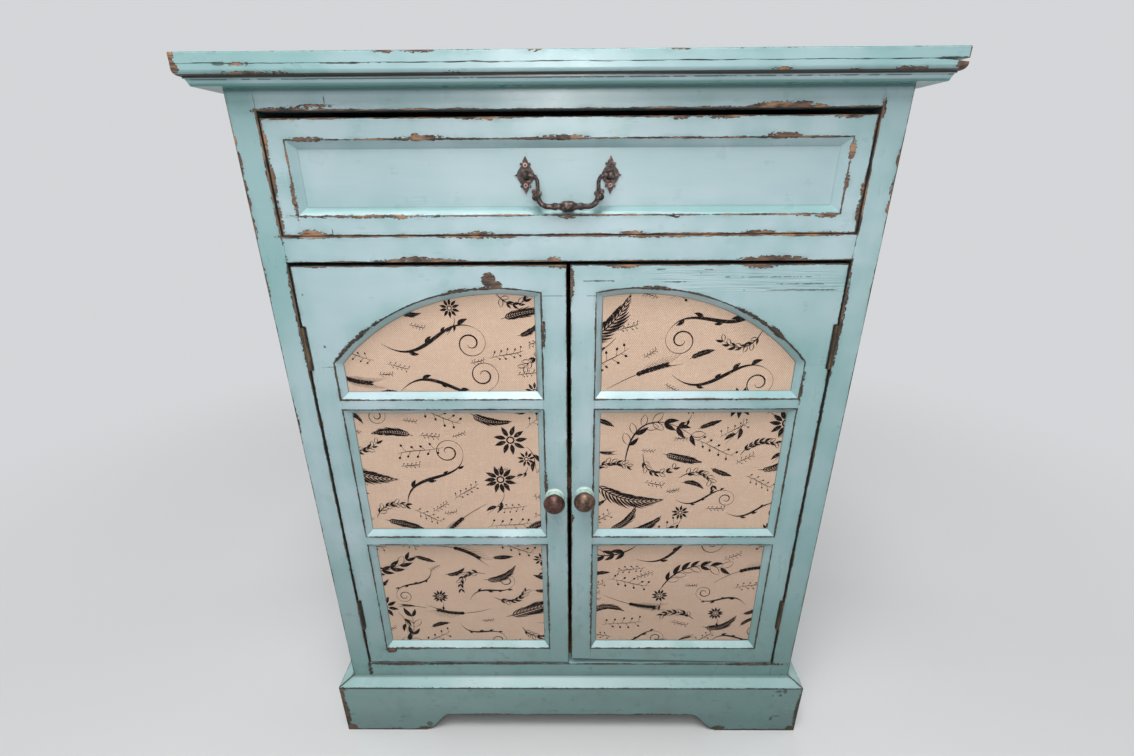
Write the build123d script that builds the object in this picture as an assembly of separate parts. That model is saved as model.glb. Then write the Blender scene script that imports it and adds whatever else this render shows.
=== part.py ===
"""Painted accent cabinet: a drawer over two arched doors, standing on a bracket plinth.

Millimetres, +Z up, front towards -Y. The origin is on the floor, under the middle of the top board.
Every sub-part is written to parts/NODE.step.
"""

from build123d import *
import os
from math import atan2, degrees, radians, sin, sqrt

# Case
case_width = 650.0
case_depth = 330.0
frame_thick = 19.0
stile_width = 27.0
middle_rail_height = 26.8
top_rail_height = 35.0
side_thick = 15.0
back_thick = 4.0
back_rabbet = 8.0
floor_thick = 15.0
shelf_thick = 16.0
shelf_space = 292.0
shelf_setback = 3.0
cleat_size = 15.0
joint_play = 0.3
overshoot = 1.0

# Top board and the moulding under it
top_thick = 9.5
top_overhang = 26.5
top_edge_round = 1.5
cornice_height = 16.5
cornice_edge = 4.5
cornice_round = 5.0
cornice_fillet = 1.3
cornice_quirk = 1.2
cornice_foot = 18.0
corner_lift = 2.8
corner_lift_run = 30.0
corner_lift_depth = 90.0

# Plinth
plinth_height = 97.0
plinth_thick = 17.0
plinth_bevel_drop = 5.7
plinth_flat = 2.0
rail_reveal = 23.0
case_drop = 37.0
foot_width = 121.0
side_foot_width = 96.0
cutout_height = 34.0
cutout_slope = 39.0
toe_thick = 1.5
block_size = 45.0

# Doors
door_height = 582.0
door_thick = 19.0
door_gap_top = 3.6
door_gap_bottom = 3.6
meeting_gap = 4.0
door_stile_width = 28.0
door_bottom_rail = 28.0
bar_width = 13.0
lower_light = 187.0
middle_light = 185.0
arch_rise = 85.2
arch_offset = 50.0
arch_crown_margin = 24.8
top_rail_leg = 4.5
top_rail_nib = 3.2
sticking = 8.0
panel_lap = 10.0
panel_play = 0.5
fabric_thick = 1.0
backing_thick = 3.0
strip_width = 9.0
strip_thick = 6.0
right_door_bottom_taper = 8.0

# Butt hinges
hinge_length = 51.0
hinge_inset = 92.5
leaf_width = 16.0
leaf_thick = 1.5
knuckle_radius = 2.75
knuckle_count = 5
knuckle_gap = 0.3
hinge_pin_radius = 1.2
running_play = 0.05
axis_proud = 0.6
notch_play = 0.8

# Knobs and catch
knob_radius = 13.5
knob_reach = 25.0
knob_neck = 5.5
knob_neck_out = 7.0
knob_flare_radius = 10.8
knob_flare_out = 11.0
knob_widest_out = 15.5
knob_dome_radius = 10.0
knob_dome_out = 22.0
knob_base_radius = 12.3
knob_base_thick = 3.0
knob_collar_radius = 9.4
knob_collar_thick = 2.2
knob_collar_round = 1.0
knob_inset = 16.8
left_knob_height = 414.0
right_knob_height = 417.0
catch_width = 40.0
catch_depth = 18.0
catch_height = 14.0
catch_plate_width = 12.0
catch_plate_thick = 1.2

# Drawer
drawer_front_height = 109.7
drawer_front_thick = 19.0
drawer_gap_side = 2.1
drawer_gap_bottom = 0.8
drawer_gap_top = 6.0
recess_margin = 19.3
recess_depth = 8.0
drawer_side_thick = 12.0
drawer_side_height = 88.0
drawer_back_gap = 0.5
drawer_bottom_thick = 4.0
drawer_groove = 6.0
drawer_groove_height = 10.0
runner_ledge = 28.0
runner_thick = 20.0
guide_height = 20.0
kicker_height = 18.0
kicker_play = 2.5

# Drawer pull
pull_spacing = 85.4
pull_raise = 2.3
plate_height = 36.4
plate_width = 22.8
plate_thick = 1.5
plate_shoulder = 10.9
plate_belly = 9.1
plate_bulge_x = 6.4
plate_bulge_z = 6.0
plate_spear_half = 2.8
plate_spear_z = 12.9
plate_waist_half = 4.1
plate_point_half = 1.5
plate_point_x = 8.0
plate_lobe_radius = 1.5
plate_lobe_x = 4.0
plate_lobe_z = 10.4
post_reach = 10.5
post_foot_radius = 4.6
post_neck_radius = 2.8
post_ball_radius = 3.5
bail_pin_radius = 1.3
bail_rod_radius = 2.0
bail_foot_radius = 2.7
foot_rise = 2.0
bail_drop = 29.3
bail_arm_inset = 12.4
bail_elbow = 7.0
bail_corner = 10.5
corner_share = 0.95
grip_radius = 5.4
grip_shoulder = 4.3
grip_shoulder_x = 6.2
grip_neck = 3.0
grip_neck_x = 9.9
grip_collar = 2.9
grip_collar_x = 16.0
grip_half = 19.0
bead_radius = 3.7
bead_x = 12.9
rosette_radius = 2.0
rosette_proud = 0.4
outer_curl_radius = 2.8
outer_curl_x = 3.1
outer_curl_drop = 15.3
inner_curl_radius = 2.6
inner_curl_x = 1.7
inner_curl_drop = 17.0
curl_thick = 5.6
curl_round = 0.8
curl_eye_radius = 1.1
curl_eye_proud = 0.4
knot_radius = 3.7
knot_x = 2.2
knot_drop = 20.3
screw_radius = 2.3
screw_head = 1.2
screw_round = 0.8
screw_spacing = 19.0

# Heights, from the floor up
case_bottom = plinth_height - case_drop
floor_top = plinth_height + rail_reveal
door_bottom = floor_top + door_gap_bottom
door_top = door_bottom + door_height
middle_rail_bottom = door_top + door_gap_top
middle_rail_top = middle_rail_bottom + middle_rail_height
drawer_bottom = middle_rail_top + drawer_gap_bottom
drawer_top = drawer_bottom + drawer_front_height
top_rail_bottom = drawer_top + drawer_gap_top
case_top = top_rail_bottom + top_rail_height
total_height = case_top + top_thick
shelf_bottom = floor_top + shelf_space

# Depths, from front to back
front = -(case_depth - top_overhang) / 2
back = front + case_depth
frame_back = front + frame_thick
inside_front = front + max(frame_thick, door_thick)
back_inside = back - back_thick

# Widths, from the middle out
case_half = case_width / 2
opening_half = case_half - stile_width
inside_half = case_half - side_thick
door_gap_side = knuckle_radius - leaf_thick / 2
door_hinge_x = -opening_half + door_gap_side
door_lock_x = -meeting_gap / 2
light_hinge_x = door_hinge_x + door_stile_width
light_lock_x = door_lock_x - door_stile_width
hinge_x = -opening_half + knuckle_radius
hinge_y = front - axis_proud

# Heights of the lights in a door
lower_light_bottom = door_bottom + door_bottom_rail
lower_light_top = lower_light_bottom + lower_light
middle_light_bottom = lower_light_top + bar_width
middle_light_top = middle_light_bottom + middle_light
top_light_bottom = middle_light_top + bar_width
arch_crown = door_top - arch_crown_margin
arch_x = light_lock_x - arch_offset
arch_radius = ((arch_x - light_hinge_x) ** 2 + arch_rise**2) / (2 * arch_rise)
arch_z = arch_crown - arch_radius
arch_spring = arch_crown - arch_rise
arch_end = arch_z + sqrt(arch_radius**2 - arch_offset**2)
hinge_joint = arch_spring - top_rail_leg
lock_joint = arch_end - top_rail_nib


def block(x0, x1, y0, y1, z0, z1):
    """Board between two opposite corners."""
    middle = Pos((x0 + x1) / 2, (y0 + y1) / 2, (z0 + z1) / 2)
    return middle * Box(x1 - x0, y1 - y0, z1 - z0)


def mirrored(piece):
    """The same piece on the other side of the cabinet."""
    return mirror(piece, about=Plane.YZ)


def upright(outline, y0, y1):
    """Piece with a straight-sided outline in X and Z, running from y0 back to y1."""
    face = Plane.XZ.offset(-y0) * make_face(Polyline(*outline, close=True))
    return extrude(face, -(y1 - y0))


def plan(outline, z0, z1):
    """Piece with a straight-sided outline in X and Y, standing from z0 to z1."""
    return extrude(Plane.XY.offset(z0) * make_face(Polyline(*outline, close=True)), z1 - z0)


# ---------------------------------------------------------------- case


def stile():
    """Left upright of the face frame."""
    return block(-case_half, -opening_half, front, frame_back, case_bottom, case_top)


def rail(z0, z1):
    """Cross rail of the face frame, butted between the stiles."""
    return block(-opening_half, opening_half, front, frame_back, z0, z1)


def side_panel():
    """Left side board, rabbeted at the rear for the back panel."""
    board = block(-case_half, -inside_half, frame_back, back, case_bottom, case_top)
    rabbet_x = -inside_half - back_rabbet
    return board - block(rabbet_x, -inside_half, back_inside, back, case_bottom, case_top)


def back_panel():
    """Thin sheet let into the side boards."""
    half = inside_half + back_rabbet
    return block(-half, half, back_inside, back, case_bottom, case_top)


def cabinet_floor():
    """Board level with the top of the bottom rail."""
    z0 = floor_top - floor_thick
    return block(-inside_half, inside_half, frame_back, back_inside, z0, floor_top)


def shelf():
    """Board inside the doors, resting on cleats."""
    half = inside_half - panel_play
    y0 = inside_front + shelf_setback
    return block(-half, half, y0, back_inside - panel_play, shelf_bottom, shelf_bottom + shelf_thick)


def side_cleats():
    """Four equal strips, two under the cabinet floor and two under the shelf."""
    cleats = []
    for z1 in (floor_top - floor_thick, shelf_bottom):
        cleat = block(-inside_half, -inside_half + cleat_size, frame_back, back_inside, z1 - cleat_size, z1)
        cleats += [cleat, mirrored(cleat)]
    return cleats


def drawer_runners():
    """L-shaped strips that carry the drawer and keep it between the stiles."""
    guide_x = -opening_half - joint_play
    outline = [
        (-inside_half, middle_rail_top - runner_thick),
        (-inside_half + runner_ledge, middle_rail_top - runner_thick),
        (-inside_half + runner_ledge, middle_rail_top),
        (guide_x, middle_rail_top),
        (guide_x, middle_rail_top + guide_height),
        (-inside_half, middle_rail_top + guide_height),
    ]
    runner = upright(outline, frame_back, back_inside)
    return [runner, mirrored(runner)]


def drawer_kickers():
    """Strips above the drawer sides that stop an open drawer from tipping."""
    z0 = middle_rail_top + joint_play + drawer_side_height + kicker_play
    x1 = -inside_half + runner_ledge
    kicker = block(-inside_half, x1, frame_back, back_inside, z0, z0 + kicker_height)
    return [kicker, mirrored(kicker)]


def top_board():
    """Flat top with eased edges, level with the back of the case."""
    half = case_half + top_overhang
    board = block(-half, half, front - top_overhang, back, case_top, total_height)
    return fillet(board.edges().group_by(Axis.Z)[-1], top_edge_round)


# ---------------------------------------------------------------- mouldings


def wrap_front(profile, reach):
    """Moulding along the front with mitred ends. The profile holds distance out and height."""
    plane = Plane((case_half + reach, front, 0), x_dir=(0, -1, 0), z_dir=(-1, 0, 0))
    bar = extrude(plane * profile, case_width + 2 * reach)
    outline = [
        (-case_half - reach, front - reach),
        (case_half + reach, front - reach),
        (case_half, front),
        (-case_half, front),
    ]
    return bar & plan(outline, 0, total_height)


def wrap_left(profile, reach):
    """Moulding along the left side, mitred at the front and square at the back."""
    plane = Plane((-case_half, front - reach, 0), x_dir=(-1, 0, 0), z_dir=(0, 1, 0))
    bar = extrude(plane * profile, case_depth + reach)
    outline = [
        (-case_half - reach, front - reach),
        (-case_half, front),
        (-case_half, back),
        (-case_half - reach, back),
    ]
    return bar & plan(outline, 0, total_height)


def cornice_profile():
    """Square edge rounded under, a fillet, and a bed mould that slopes in to the case."""
    edge_z = case_top - cornice_edge
    round_x = top_overhang - cornice_round
    round_z = edge_z - cornice_round
    bend = cornice_round * sin(radians(45))
    fillet_z = round_z - cornice_fillet
    foot_z = case_top - cornice_height
    outline = Polyline((round_x, round_z), (round_x, fillet_z), (round_x - cornice_quirk, fillet_z),
                       (cornice_foot, foot_z), (0, foot_z), (0, case_top),
                       (top_overhang, case_top), (top_overhang, edge_z))
    nose = ThreePointArc((top_overhang, edge_z), (round_x + bend, edge_z - bend), (round_x, round_z))
    return make_face([outline, nose])


def lifted_corner():
    """Space over the right front corner of the moulding, where the top board stands clear."""
    reach_x = case_half + top_overhang
    reach_y = front - top_overhang
    inner = Vector(reach_x - corner_lift_run, reach_y, case_top)
    rear = Vector(reach_x, reach_y + corner_lift_depth, case_top)
    low = Vector(reach_x, reach_y, case_top - corner_lift)
    along = rear - inner
    normal = (low - inner).cross(along)
    tilted = Plane(inner, x_dir=along, z_dir=normal)
    slab = Box(case_width, case_width, case_depth, align=(Align.CENTER, Align.CENTER, Align.MIN))
    return tilted * slab


def plinth_profile():
    """Upright board with a shallow bevel on top."""
    return make_face(Polyline((0, 0), (plinth_thick, 0), (plinth_thick, plinth_height - plinth_bevel_drop),
                              (plinth_flat, plinth_height), (0, plinth_height), close=True))


def ogee_cutout(toe_a, toe_b):
    """Bracket-foot outline between two toes on the floor, with an S-curve at each end."""
    top_a = toe_a + cutout_slope
    top_b = toe_b - cutout_slope
    pull = cutout_slope / 3
    left_curve = Bezier((toe_a, toe_thick), (toe_a + pull, toe_thick),
                        (top_a - pull, cutout_height), (top_a, cutout_height))
    right_curve = Bezier((top_b, cutout_height), (top_b + pull, cutout_height),
                         (toe_b - pull, toe_thick), (toe_b, toe_thick))
    roof = Line((top_a, cutout_height), (top_b, cutout_height))
    below = Polyline((toe_b, toe_thick), (toe_b, -overshoot), (toe_a, -overshoot), (toe_a, toe_thick))
    return make_face([left_curve, roof, right_curve, below])


def plinth_front():
    """Front plinth board on two bracket feet."""
    toe = case_half + plinth_thick - foot_width
    opening = Plane.XZ.offset(-front) * ogee_cutout(-toe, toe)
    return wrap_front(plinth_profile(), plinth_thick) - extrude(opening, plinth_thick)


def plinth_left():
    """Left plinth board on two bracket feet."""
    toe_front = front - plinth_thick + side_foot_width
    toe_back = back - side_foot_width
    face = Plane((-case_half, 0, 0), x_dir=(0, 1, 0), z_dir=(1, 0, 0)) * ogee_cutout(toe_front, toe_back)
    return wrap_left(plinth_profile(), plinth_thick) - extrude(face, -plinth_thick)


def plinth_blocks():
    """Four corner blocks that carry the case inside the plinth."""
    blocks = []
    for y0 in (front, back - block_size):
        corner = block(-case_half, -case_half + block_size, y0, y0 + block_size, 0, case_bottom)
        blocks += [corner, mirrored(corner)]
    return blocks


# ---------------------------------------------------------------- doors


def arch_line(inset):
    """Curved head of the top light, set in by an amount."""
    radius = arch_radius - inset
    angles = []
    for x in (light_lock_x - inset, light_hinge_x + inset):
        rise = sqrt(radius**2 - (x - arch_x) ** 2)
        angles.append(degrees(atan2(rise, x - arch_x)))
    return CenterArc((arch_x, arch_z), radius, angles[0], angles[1] - angles[0])


def top_light_face(inset):
    """Outline of the arched light."""
    arch = arch_line(inset)
    sides = Polyline(arch @ 1, (light_hinge_x + inset, top_light_bottom + inset),
                     (light_lock_x - inset, top_light_bottom + inset), arch @ 0)
    return make_face([arch, sides])


def square_light_face(z0, z1, inset):
    """Outline of a rectangular light."""
    x0 = light_hinge_x + inset
    x1 = light_lock_x - inset
    corners = [(x0, z0 + inset), (x1, z0 + inset), (x1, z1 - inset), (x0, z1 - inset)]
    return make_face(Polyline(*corners, close=True))


def bevelled(face_at, depth):
    """Opening whose sides slope in at 45 degrees from the front face down to a depth."""
    near = Plane.XZ.offset(-front + overshoot) * face_at(-overshoot)
    far = Plane.XZ.offset(-front - depth - overshoot) * face_at(depth + overshoot)
    return loft([near, far], ruled=True)


def light_openings():
    """The three bevelled lights of the left door."""
    lower = bevelled(lambda inset: square_light_face(lower_light_bottom, lower_light_top, inset), sticking)
    middle = bevelled(lambda inset: square_light_face(middle_light_bottom, middle_light_top, inset), sticking)
    return [lower, middle, bevelled(top_light_face, sticking)]


def panel_pocket(play, y0, y1):
    """Space in the back of the door frame for the panel, less some play all round."""
    x0 = light_hinge_x - panel_lap + play
    x1 = light_lock_x + panel_lap - play
    z0 = lower_light_bottom - panel_lap + play
    return block(x0, x1, y0, y1, z0, arch_crown + panel_lap - play)


def hinge_centres():
    """Heights of the two hinges on a door."""
    return [door_top - hinge_inset, door_bottom + hinge_inset]


def hinge_housing(z):
    """Mortise for the door leaf and the notch round the barrel."""
    half = hinge_length / 2
    x0 = door_hinge_x - overshoot
    y0 = front - overshoot
    leaf = block(x0, hinge_x + leaf_thick / 2, y0, hinge_y + leaf_width, z - half, z + half)
    reach = knuckle_radius + notch_play
    half += notch_play
    return [leaf, block(x0, hinge_x + reach, y0, hinge_y + reach, z - half, z + half)]


def mitred_edge(x, side, heights):
    """Points up a stile's inner edge, stepping in at each light along the mitres of the bevels."""
    points = []
    for z0, z1 in heights:
        inner = x + side * sticking
        points += [(x, z0), (inner, z0 + sticking), (inner, z1 - sticking), (x, z1)]
    return points


def hinge_stile_outline():
    """Hinge stile, up to its joint under the top rail."""
    lights = [(lower_light_bottom, lower_light_top), (middle_light_bottom, middle_light_top)]
    inner = light_hinge_x + sticking
    head = [(light_hinge_x, top_light_bottom), (inner, top_light_bottom + sticking), (inner, hinge_joint)]
    edge = [(light_hinge_x, door_bottom)] + mitred_edge(light_hinge_x, 1, lights) + head
    return [(door_hinge_x, door_bottom)] + edge + [(door_hinge_x, hinge_joint)]


def lock_stile_outline():
    """Lock stile, up to its joint under the top rail."""
    lights = [(lower_light_bottom, lower_light_top), (middle_light_bottom, middle_light_top)]
    inner = light_lock_x - sticking
    head = [(light_lock_x, top_light_bottom), (inner, top_light_bottom + sticking), (inner, lock_joint)]
    edge = [(light_lock_x, door_bottom)] + mitred_edge(light_lock_x, -1, lights) + head
    return [(door_lock_x, door_bottom)] + edge + [(door_lock_x, lock_joint)]


def top_rail_outline():
    """Board with both legs; the arched light is cut out of it."""
    inner = light_lock_x - sticking
    return [(door_hinge_x, hinge_joint), (inner, hinge_joint), (inner, lock_joint),
            (door_lock_x, lock_joint), (door_lock_x, door_top), (door_hinge_x, door_top)]


def bar_outline(z0, z1):
    """Glazing bar, mitred to the bevels of the stiles at both ends."""
    x0 = light_hinge_x + sticking
    x1 = light_lock_x - sticking
    return [(light_hinge_x, z0), (x0, z0 - sticking), (x1, z0 - sticking), (light_lock_x, z0),
            (light_lock_x, z1), (x1, z1 + sticking), (x0, z1 + sticking), (light_hinge_x, z1)]


def bottom_rail_outline():
    """Bottom rail, mitred to the bevels of the stiles along its top."""
    x0 = light_hinge_x + sticking
    x1 = light_lock_x - sticking
    z1 = lower_light_bottom
    return [(light_hinge_x, door_bottom), (light_lock_x, door_bottom), (light_lock_x, z1),
            (x1, z1 + sticking), (x0, z1 + sticking), (light_hinge_x, z1)]


def door_frame(taper):
    """The six frame members of a left door. Taper planes the bottom edge up towards the lock."""
    outlines = {
        "top_rail": top_rail_outline(),
        "hinge_stile": hinge_stile_outline(),
        "lock_stile": lock_stile_outline(),
        "upper_bar": bar_outline(middle_light_top, top_light_bottom),
        "lower_bar": bar_outline(lower_light_top, middle_light_bottom),
        "bottom_rail": bottom_rail_outline(),
    }
    back_face = front + door_thick
    cuts = light_openings() + [panel_pocket(0, front + sticking, back_face + overshoot)]
    for z in hinge_centres():
        cuts += hinge_housing(z)
    if taper > 0:
        planed = door_bottom + taper
        wedge = [(door_hinge_x, door_bottom), (door_lock_x, door_bottom), (door_lock_x, planed)]
        cuts.append(upright(wedge, front - overshoot, back_face + overshoot))
    return {name: upright(outline, front, back_face) - cuts for name, outline in outlines.items()}


def door_panel():
    """Fabric sheet on its backing board, behind the frame."""
    y0 = front + sticking
    y1 = y0 + fabric_thick
    return {
        "fabric": panel_pocket(panel_play, y0, y1),
        "backing": panel_pocket(panel_play, y1, y1 + backing_thick),
    }


def panel_strips():
    """Four strips that hold the panel in its rabbet."""
    y0 = front + sticking + fabric_thick + backing_thick
    ring = panel_pocket(0, y0, y0 + strip_thick)
    box = ring.bounding_box()
    x0, x1, z0, z1 = box.min.X, box.max.X, box.min.Z, box.max.Z
    y1 = y0 + strip_thick
    return [
        block(x0, x0 + strip_width, y0, y1, z0, z1),
        block(x1 - strip_width, x1, y0, y1, z0, z1),
        block(x0 + strip_width, x1 - strip_width, y0, y1, z0, z0 + strip_width),
        block(x0 + strip_width, x1 - strip_width, y0, y1, z1 - strip_width, z1),
    ]


# ---------------------------------------------------------------- hinges


def barrel(radius, z0, z1):
    """Round length on the hinge axis."""
    return Pos(hinge_x, hinge_y, (z0 + z1) / 2) * Cylinder(radius, z1 - z0)


def knuckle_spans(z, first):
    """Heights of every second knuckle, starting from the first one given."""
    pitch = hinge_length / knuckle_count
    spans = []
    for index in range(first, knuckle_count, 2):
        z0 = z - hinge_length / 2 + index * pitch
        spans.append((z0 + knuckle_gap / 2, z0 + pitch - knuckle_gap / 2))
    return spans


def hinge_leaf(z, x0, x1, own, other):
    """One leaf between x0 and x1, with its own knuckles and clearance for the other leaf's."""
    half = hinge_length / 2
    plate = block(x0, x1, hinge_y, hinge_y + leaf_width, z - half, z + half)
    for z0, z1 in knuckle_spans(z, other):
        plate -= barrel(knuckle_radius + knuckle_gap, z0 - knuckle_gap, z1 + knuckle_gap)
    for z0, z1 in knuckle_spans(z, own):
        plate += barrel(knuckle_radius, z0, z1)
    return plate - barrel(hinge_pin_radius + running_play, z - half, z + half)


def case_hinge_leaves():
    """Four leaves on the inner edges of the face-frame stiles."""
    leaves = []
    for z in hinge_centres():
        leaf = hinge_leaf(z, -opening_half, -opening_half + leaf_thick, 0, 1)
        leaves += [leaf, mirrored(leaf)]
    return leaves


def door_hinge_leaves():
    """Two leaves let into the hinge edge of the left door."""
    half = leaf_thick / 2
    return [hinge_leaf(z, hinge_x - half, hinge_x + half, 1, 0) for z in hinge_centres()]


def hinge_pins():
    """Four fixed pins, as long as the barrels."""
    pins = []
    for z in hinge_centres():
        pin = barrel(hinge_pin_radius, z - hinge_length / 2, z + hinge_length / 2)
        pins += [pin, mirrored(pin)]
    return pins


# ---------------------------------------------------------------- knobs and catch


def turned(profile, x, z):
    """Round piece that stands out from the door face; the profile holds radius and distance out."""
    return Pos(x, front, z) * Rot(0, 0, 180) * revolve(profile, Axis.Y)


def knob_profile():
    """Domed knob on a waisted neck."""
    dome = Spline((knob_neck, knob_neck_out), (knob_flare_radius, knob_flare_out),
                  (knob_radius, knob_widest_out), (knob_dome_radius, knob_dome_out), (0, knob_reach),
                  tangents=[(0.2, 1), (-1, 0)])
    seat = knob_base_thick + knob_collar_thick
    stem = Polyline((0, knob_reach), (0, seat), (knob_neck, seat), (knob_neck, knob_neck_out))
    return make_face([dome, stem])


def knob_base_profile():
    """Low round base under the knob, with a collar on it."""
    edge = knob_base_thick / 2
    seat = knob_base_thick + knob_collar_thick
    return make_face(Polyline((0, 0), (knob_base_radius, 0), (knob_base_radius, edge),
                              (knob_base_radius - edge, knob_base_thick),
                              (knob_collar_radius, knob_base_thick),
                              (knob_collar_radius, seat - knob_collar_round),
                              (knob_collar_radius - knob_collar_round, seat), (0, seat), close=True))


def catch():
    """Double magnetic catch under the front edge of the shelf."""
    y0 = front + door_thick + catch_plate_thick + joint_play
    half = catch_width / 2
    return block(-half, half, y0, y0 + catch_depth, shelf_bottom - catch_height, shelf_bottom)


def catch_plate():
    """Steel plate behind the lock stile of the left door."""
    x1 = light_lock_x + door_stile_width - (door_stile_width - panel_lap - catch_plate_width) / 2
    y0 = front + door_thick
    return block(x1 - catch_plate_width, x1, y0, y0 + catch_plate_thick,
                 shelf_bottom - catch_height, shelf_bottom)


# ---------------------------------------------------------------- drawer

drawer_half = opening_half - drawer_gap_side
box_half = opening_half - drawer_gap_side - joint_play
box_bottom = middle_rail_top + joint_play
box_front = front + drawer_front_thick
box_back = back_inside - drawer_back_gap
pull_z = (drawer_bottom + drawer_top) / 2 + pull_raise
pull_x = -pull_spacing / 2
field_y = front + recess_depth
plate_y = field_y - plate_thick
bail_y = plate_y - post_reach


def drawer_front():
    """Front board with a recessed field and bevelled sides."""
    board = block(-drawer_half, drawer_half, front, box_front, drawer_bottom, drawer_top)

    def recess(inset):
        x = drawer_half - recess_margin - inset
        z0 = drawer_bottom + recess_margin + inset
        z1 = drawer_top - recess_margin - inset
        return make_face(Polyline((-x, z0), (x, z0), (x, z1), (-x, z1), close=True))

    near = Plane.XZ.offset(-front + overshoot) * recess(-overshoot)
    far = Plane.XZ.offset(-field_y) * recess(recess_depth)
    return board - loft([near, far], ruled=True)


def drawer_side():
    """Left side of the drawer box, grooved for the bottom."""
    inner = -box_half + drawer_side_thick
    board = block(-box_half, inner, box_front, box_back, box_bottom, box_bottom + drawer_side_height)
    z0 = box_bottom + drawer_groove_height
    return board - block(inner - drawer_groove, inner, box_front, box_back, z0, z0 + drawer_bottom_thick)


def drawer_back():
    """Back of the drawer box, standing on the bottom."""
    half = box_half - drawer_side_thick
    z0 = box_bottom + drawer_groove_height + drawer_bottom_thick
    y0 = box_back - drawer_side_thick
    return block(-half, half, y0, box_back, z0, box_bottom + drawer_side_height)


def drawer_base():
    """Thin bottom sheet, slid into the grooves."""
    half = box_half - drawer_side_thick + drawer_groove - joint_play
    z0 = box_bottom + drawer_groove_height
    return block(-half, half, box_front, box_back, z0, z0 + drawer_bottom_thick)


# ---------------------------------------------------------------- drawer pull


def plate_outline():
    """Lozenge plate with spear tips, side points and a pair of lobes by each tip."""
    arcs = []
    for across in (1, -1):
        for up in (1, -1):
            bulge = (across * plate_bulge_x, up * plate_bulge_z)
            arcs.append(ThreePointArc((0, up * plate_shoulder), bulge, (across * plate_belly, 0)))
    outline = make_face(arcs)
    for side in (1, -1):
        tip = side * plate_height / 2
        neck = side * plate_spear_z
        spear = Polyline((0, tip), (plate_spear_half, neck), (plate_waist_half, 0),
                         (-plate_waist_half, 0), (-plate_spear_half, neck), close=True)
        bend = side * plate_point_x
        point = Polyline((side * plate_width / 2, 0), (bend, plate_point_half), (0, plate_point_half),
                         (0, -plate_point_half), (bend, -plate_point_half), close=True)
        outline += [make_face(spear), make_face(point)]
        for x in (-plate_lobe_x, plate_lobe_x):
            outline += Pos(x, side * plate_lobe_z) * Circle(plate_lobe_radius)
    return outline


def pull_plate():
    """Left plate with the post that carries the bail."""
    plane = Plane((pull_x, field_y, pull_z), x_dir=(1, 0, 0), z_dir=(0, -1, 0))
    plate = extrude(plane * plate_outline(), plate_thick)
    tip = post_reach + post_ball_radius
    flank = Spline((post_foot_radius, 0), (post_neck_radius, 0.45 * post_reach),
                   (post_ball_radius, post_reach), (0, tip), tangents=[(-0.4, 1), (-1, 0)])
    stem = make_face([flank, Polyline((0, tip), (0, 0), (post_foot_radius, 0))])
    post = Pos(pull_x, plate_y, pull_z) * Rot(0, 0, 180) * revolve(stem, Axis.Y)
    bore_radius = bail_pin_radius + running_play
    bore = Pos(pull_x, bail_y, pull_z) * Rot(0, 90, 0) * Cylinder(bore_radius, plate_width)
    return plate + post - bore


def pull_screws():
    """Four pan-head screws, two in each plate."""
    screws = []
    blank = Cylinder(screw_radius, screw_head, align=(Align.CENTER, Align.CENTER, Align.MIN))
    head = fillet(blank.edges().group_by(Axis.Z)[-1], screw_round)
    for dz in (-screw_spacing / 2, screw_spacing / 2):
        screw = Pos(pull_x, plate_y, pull_z + dz) * Rot(90, 0, 0) * head
        screws += [screw, mirrored(screw)]
    return screws


def rod(path, radius):
    """Round bar along a path."""
    return sweep(Plane(path @ 0, z_dir=path % 0) * Circle(radius), path)


def bail_arm():
    """Left pin and arm of the bail down to the knot, and the stouter foot that turns in to the grip."""
    start_x = pull_x + post_ball_radius + joint_play
    arm_x = pull_x + bail_arm_inset
    plane = Plane((0, bail_y, pull_z), x_dir=(1, 0, 0), z_dir=(0, -1, 0))
    seam = knot_drop - foot_rise
    arm = FilletPolyline((start_x, 0), (arm_x, 0), (arm_x, -seam), radius=bail_elbow)
    room = min(bail_drop - seam, -grip_half - arm_x) * corner_share
    foot = FilletPolyline((arm_x, -seam), (arm_x, -bail_drop), (-grip_half, -bail_drop),
                          radius=min(bail_corner, room))
    pin_length = start_x - pull_x + 2 * bail_pin_radius
    pin_x = start_x + joint_play - pin_length / 2
    pin = Pos(pin_x, bail_y, pull_z) * Rot(0, 90, 0) * Cylinder(bail_pin_radius, pin_length)
    return scroll_knot(arm_x) + rod(plane * arm, bail_rod_radius) + rod(plane * foot, bail_foot_radius) + pin


def curl(x, drop, radius):
    """Scrolled end of a bar, with a raised eye."""
    scroll = Cylinder(radius, curl_thick)
    scroll = fillet(scroll.edges().filter_by(GeomType.CIRCLE), curl_round)
    eye = Cylinder(curl_eye_radius, curl_thick + 2 * curl_eye_proud)
    return Pos(x, bail_y, pull_z - drop) * Rot(90, 0, 0) * (scroll + eye)


def scroll_knot(x):
    """Two curls and a rounded body where the arm meets the foot."""
    outer = curl(x - outer_curl_x, outer_curl_drop, outer_curl_radius)
    inner = curl(x + inner_curl_x, inner_curl_drop, inner_curl_radius)
    return outer + inner + Pos(x - knot_x, bail_y, pull_z - knot_drop) * Sphere(knot_radius)


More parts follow.
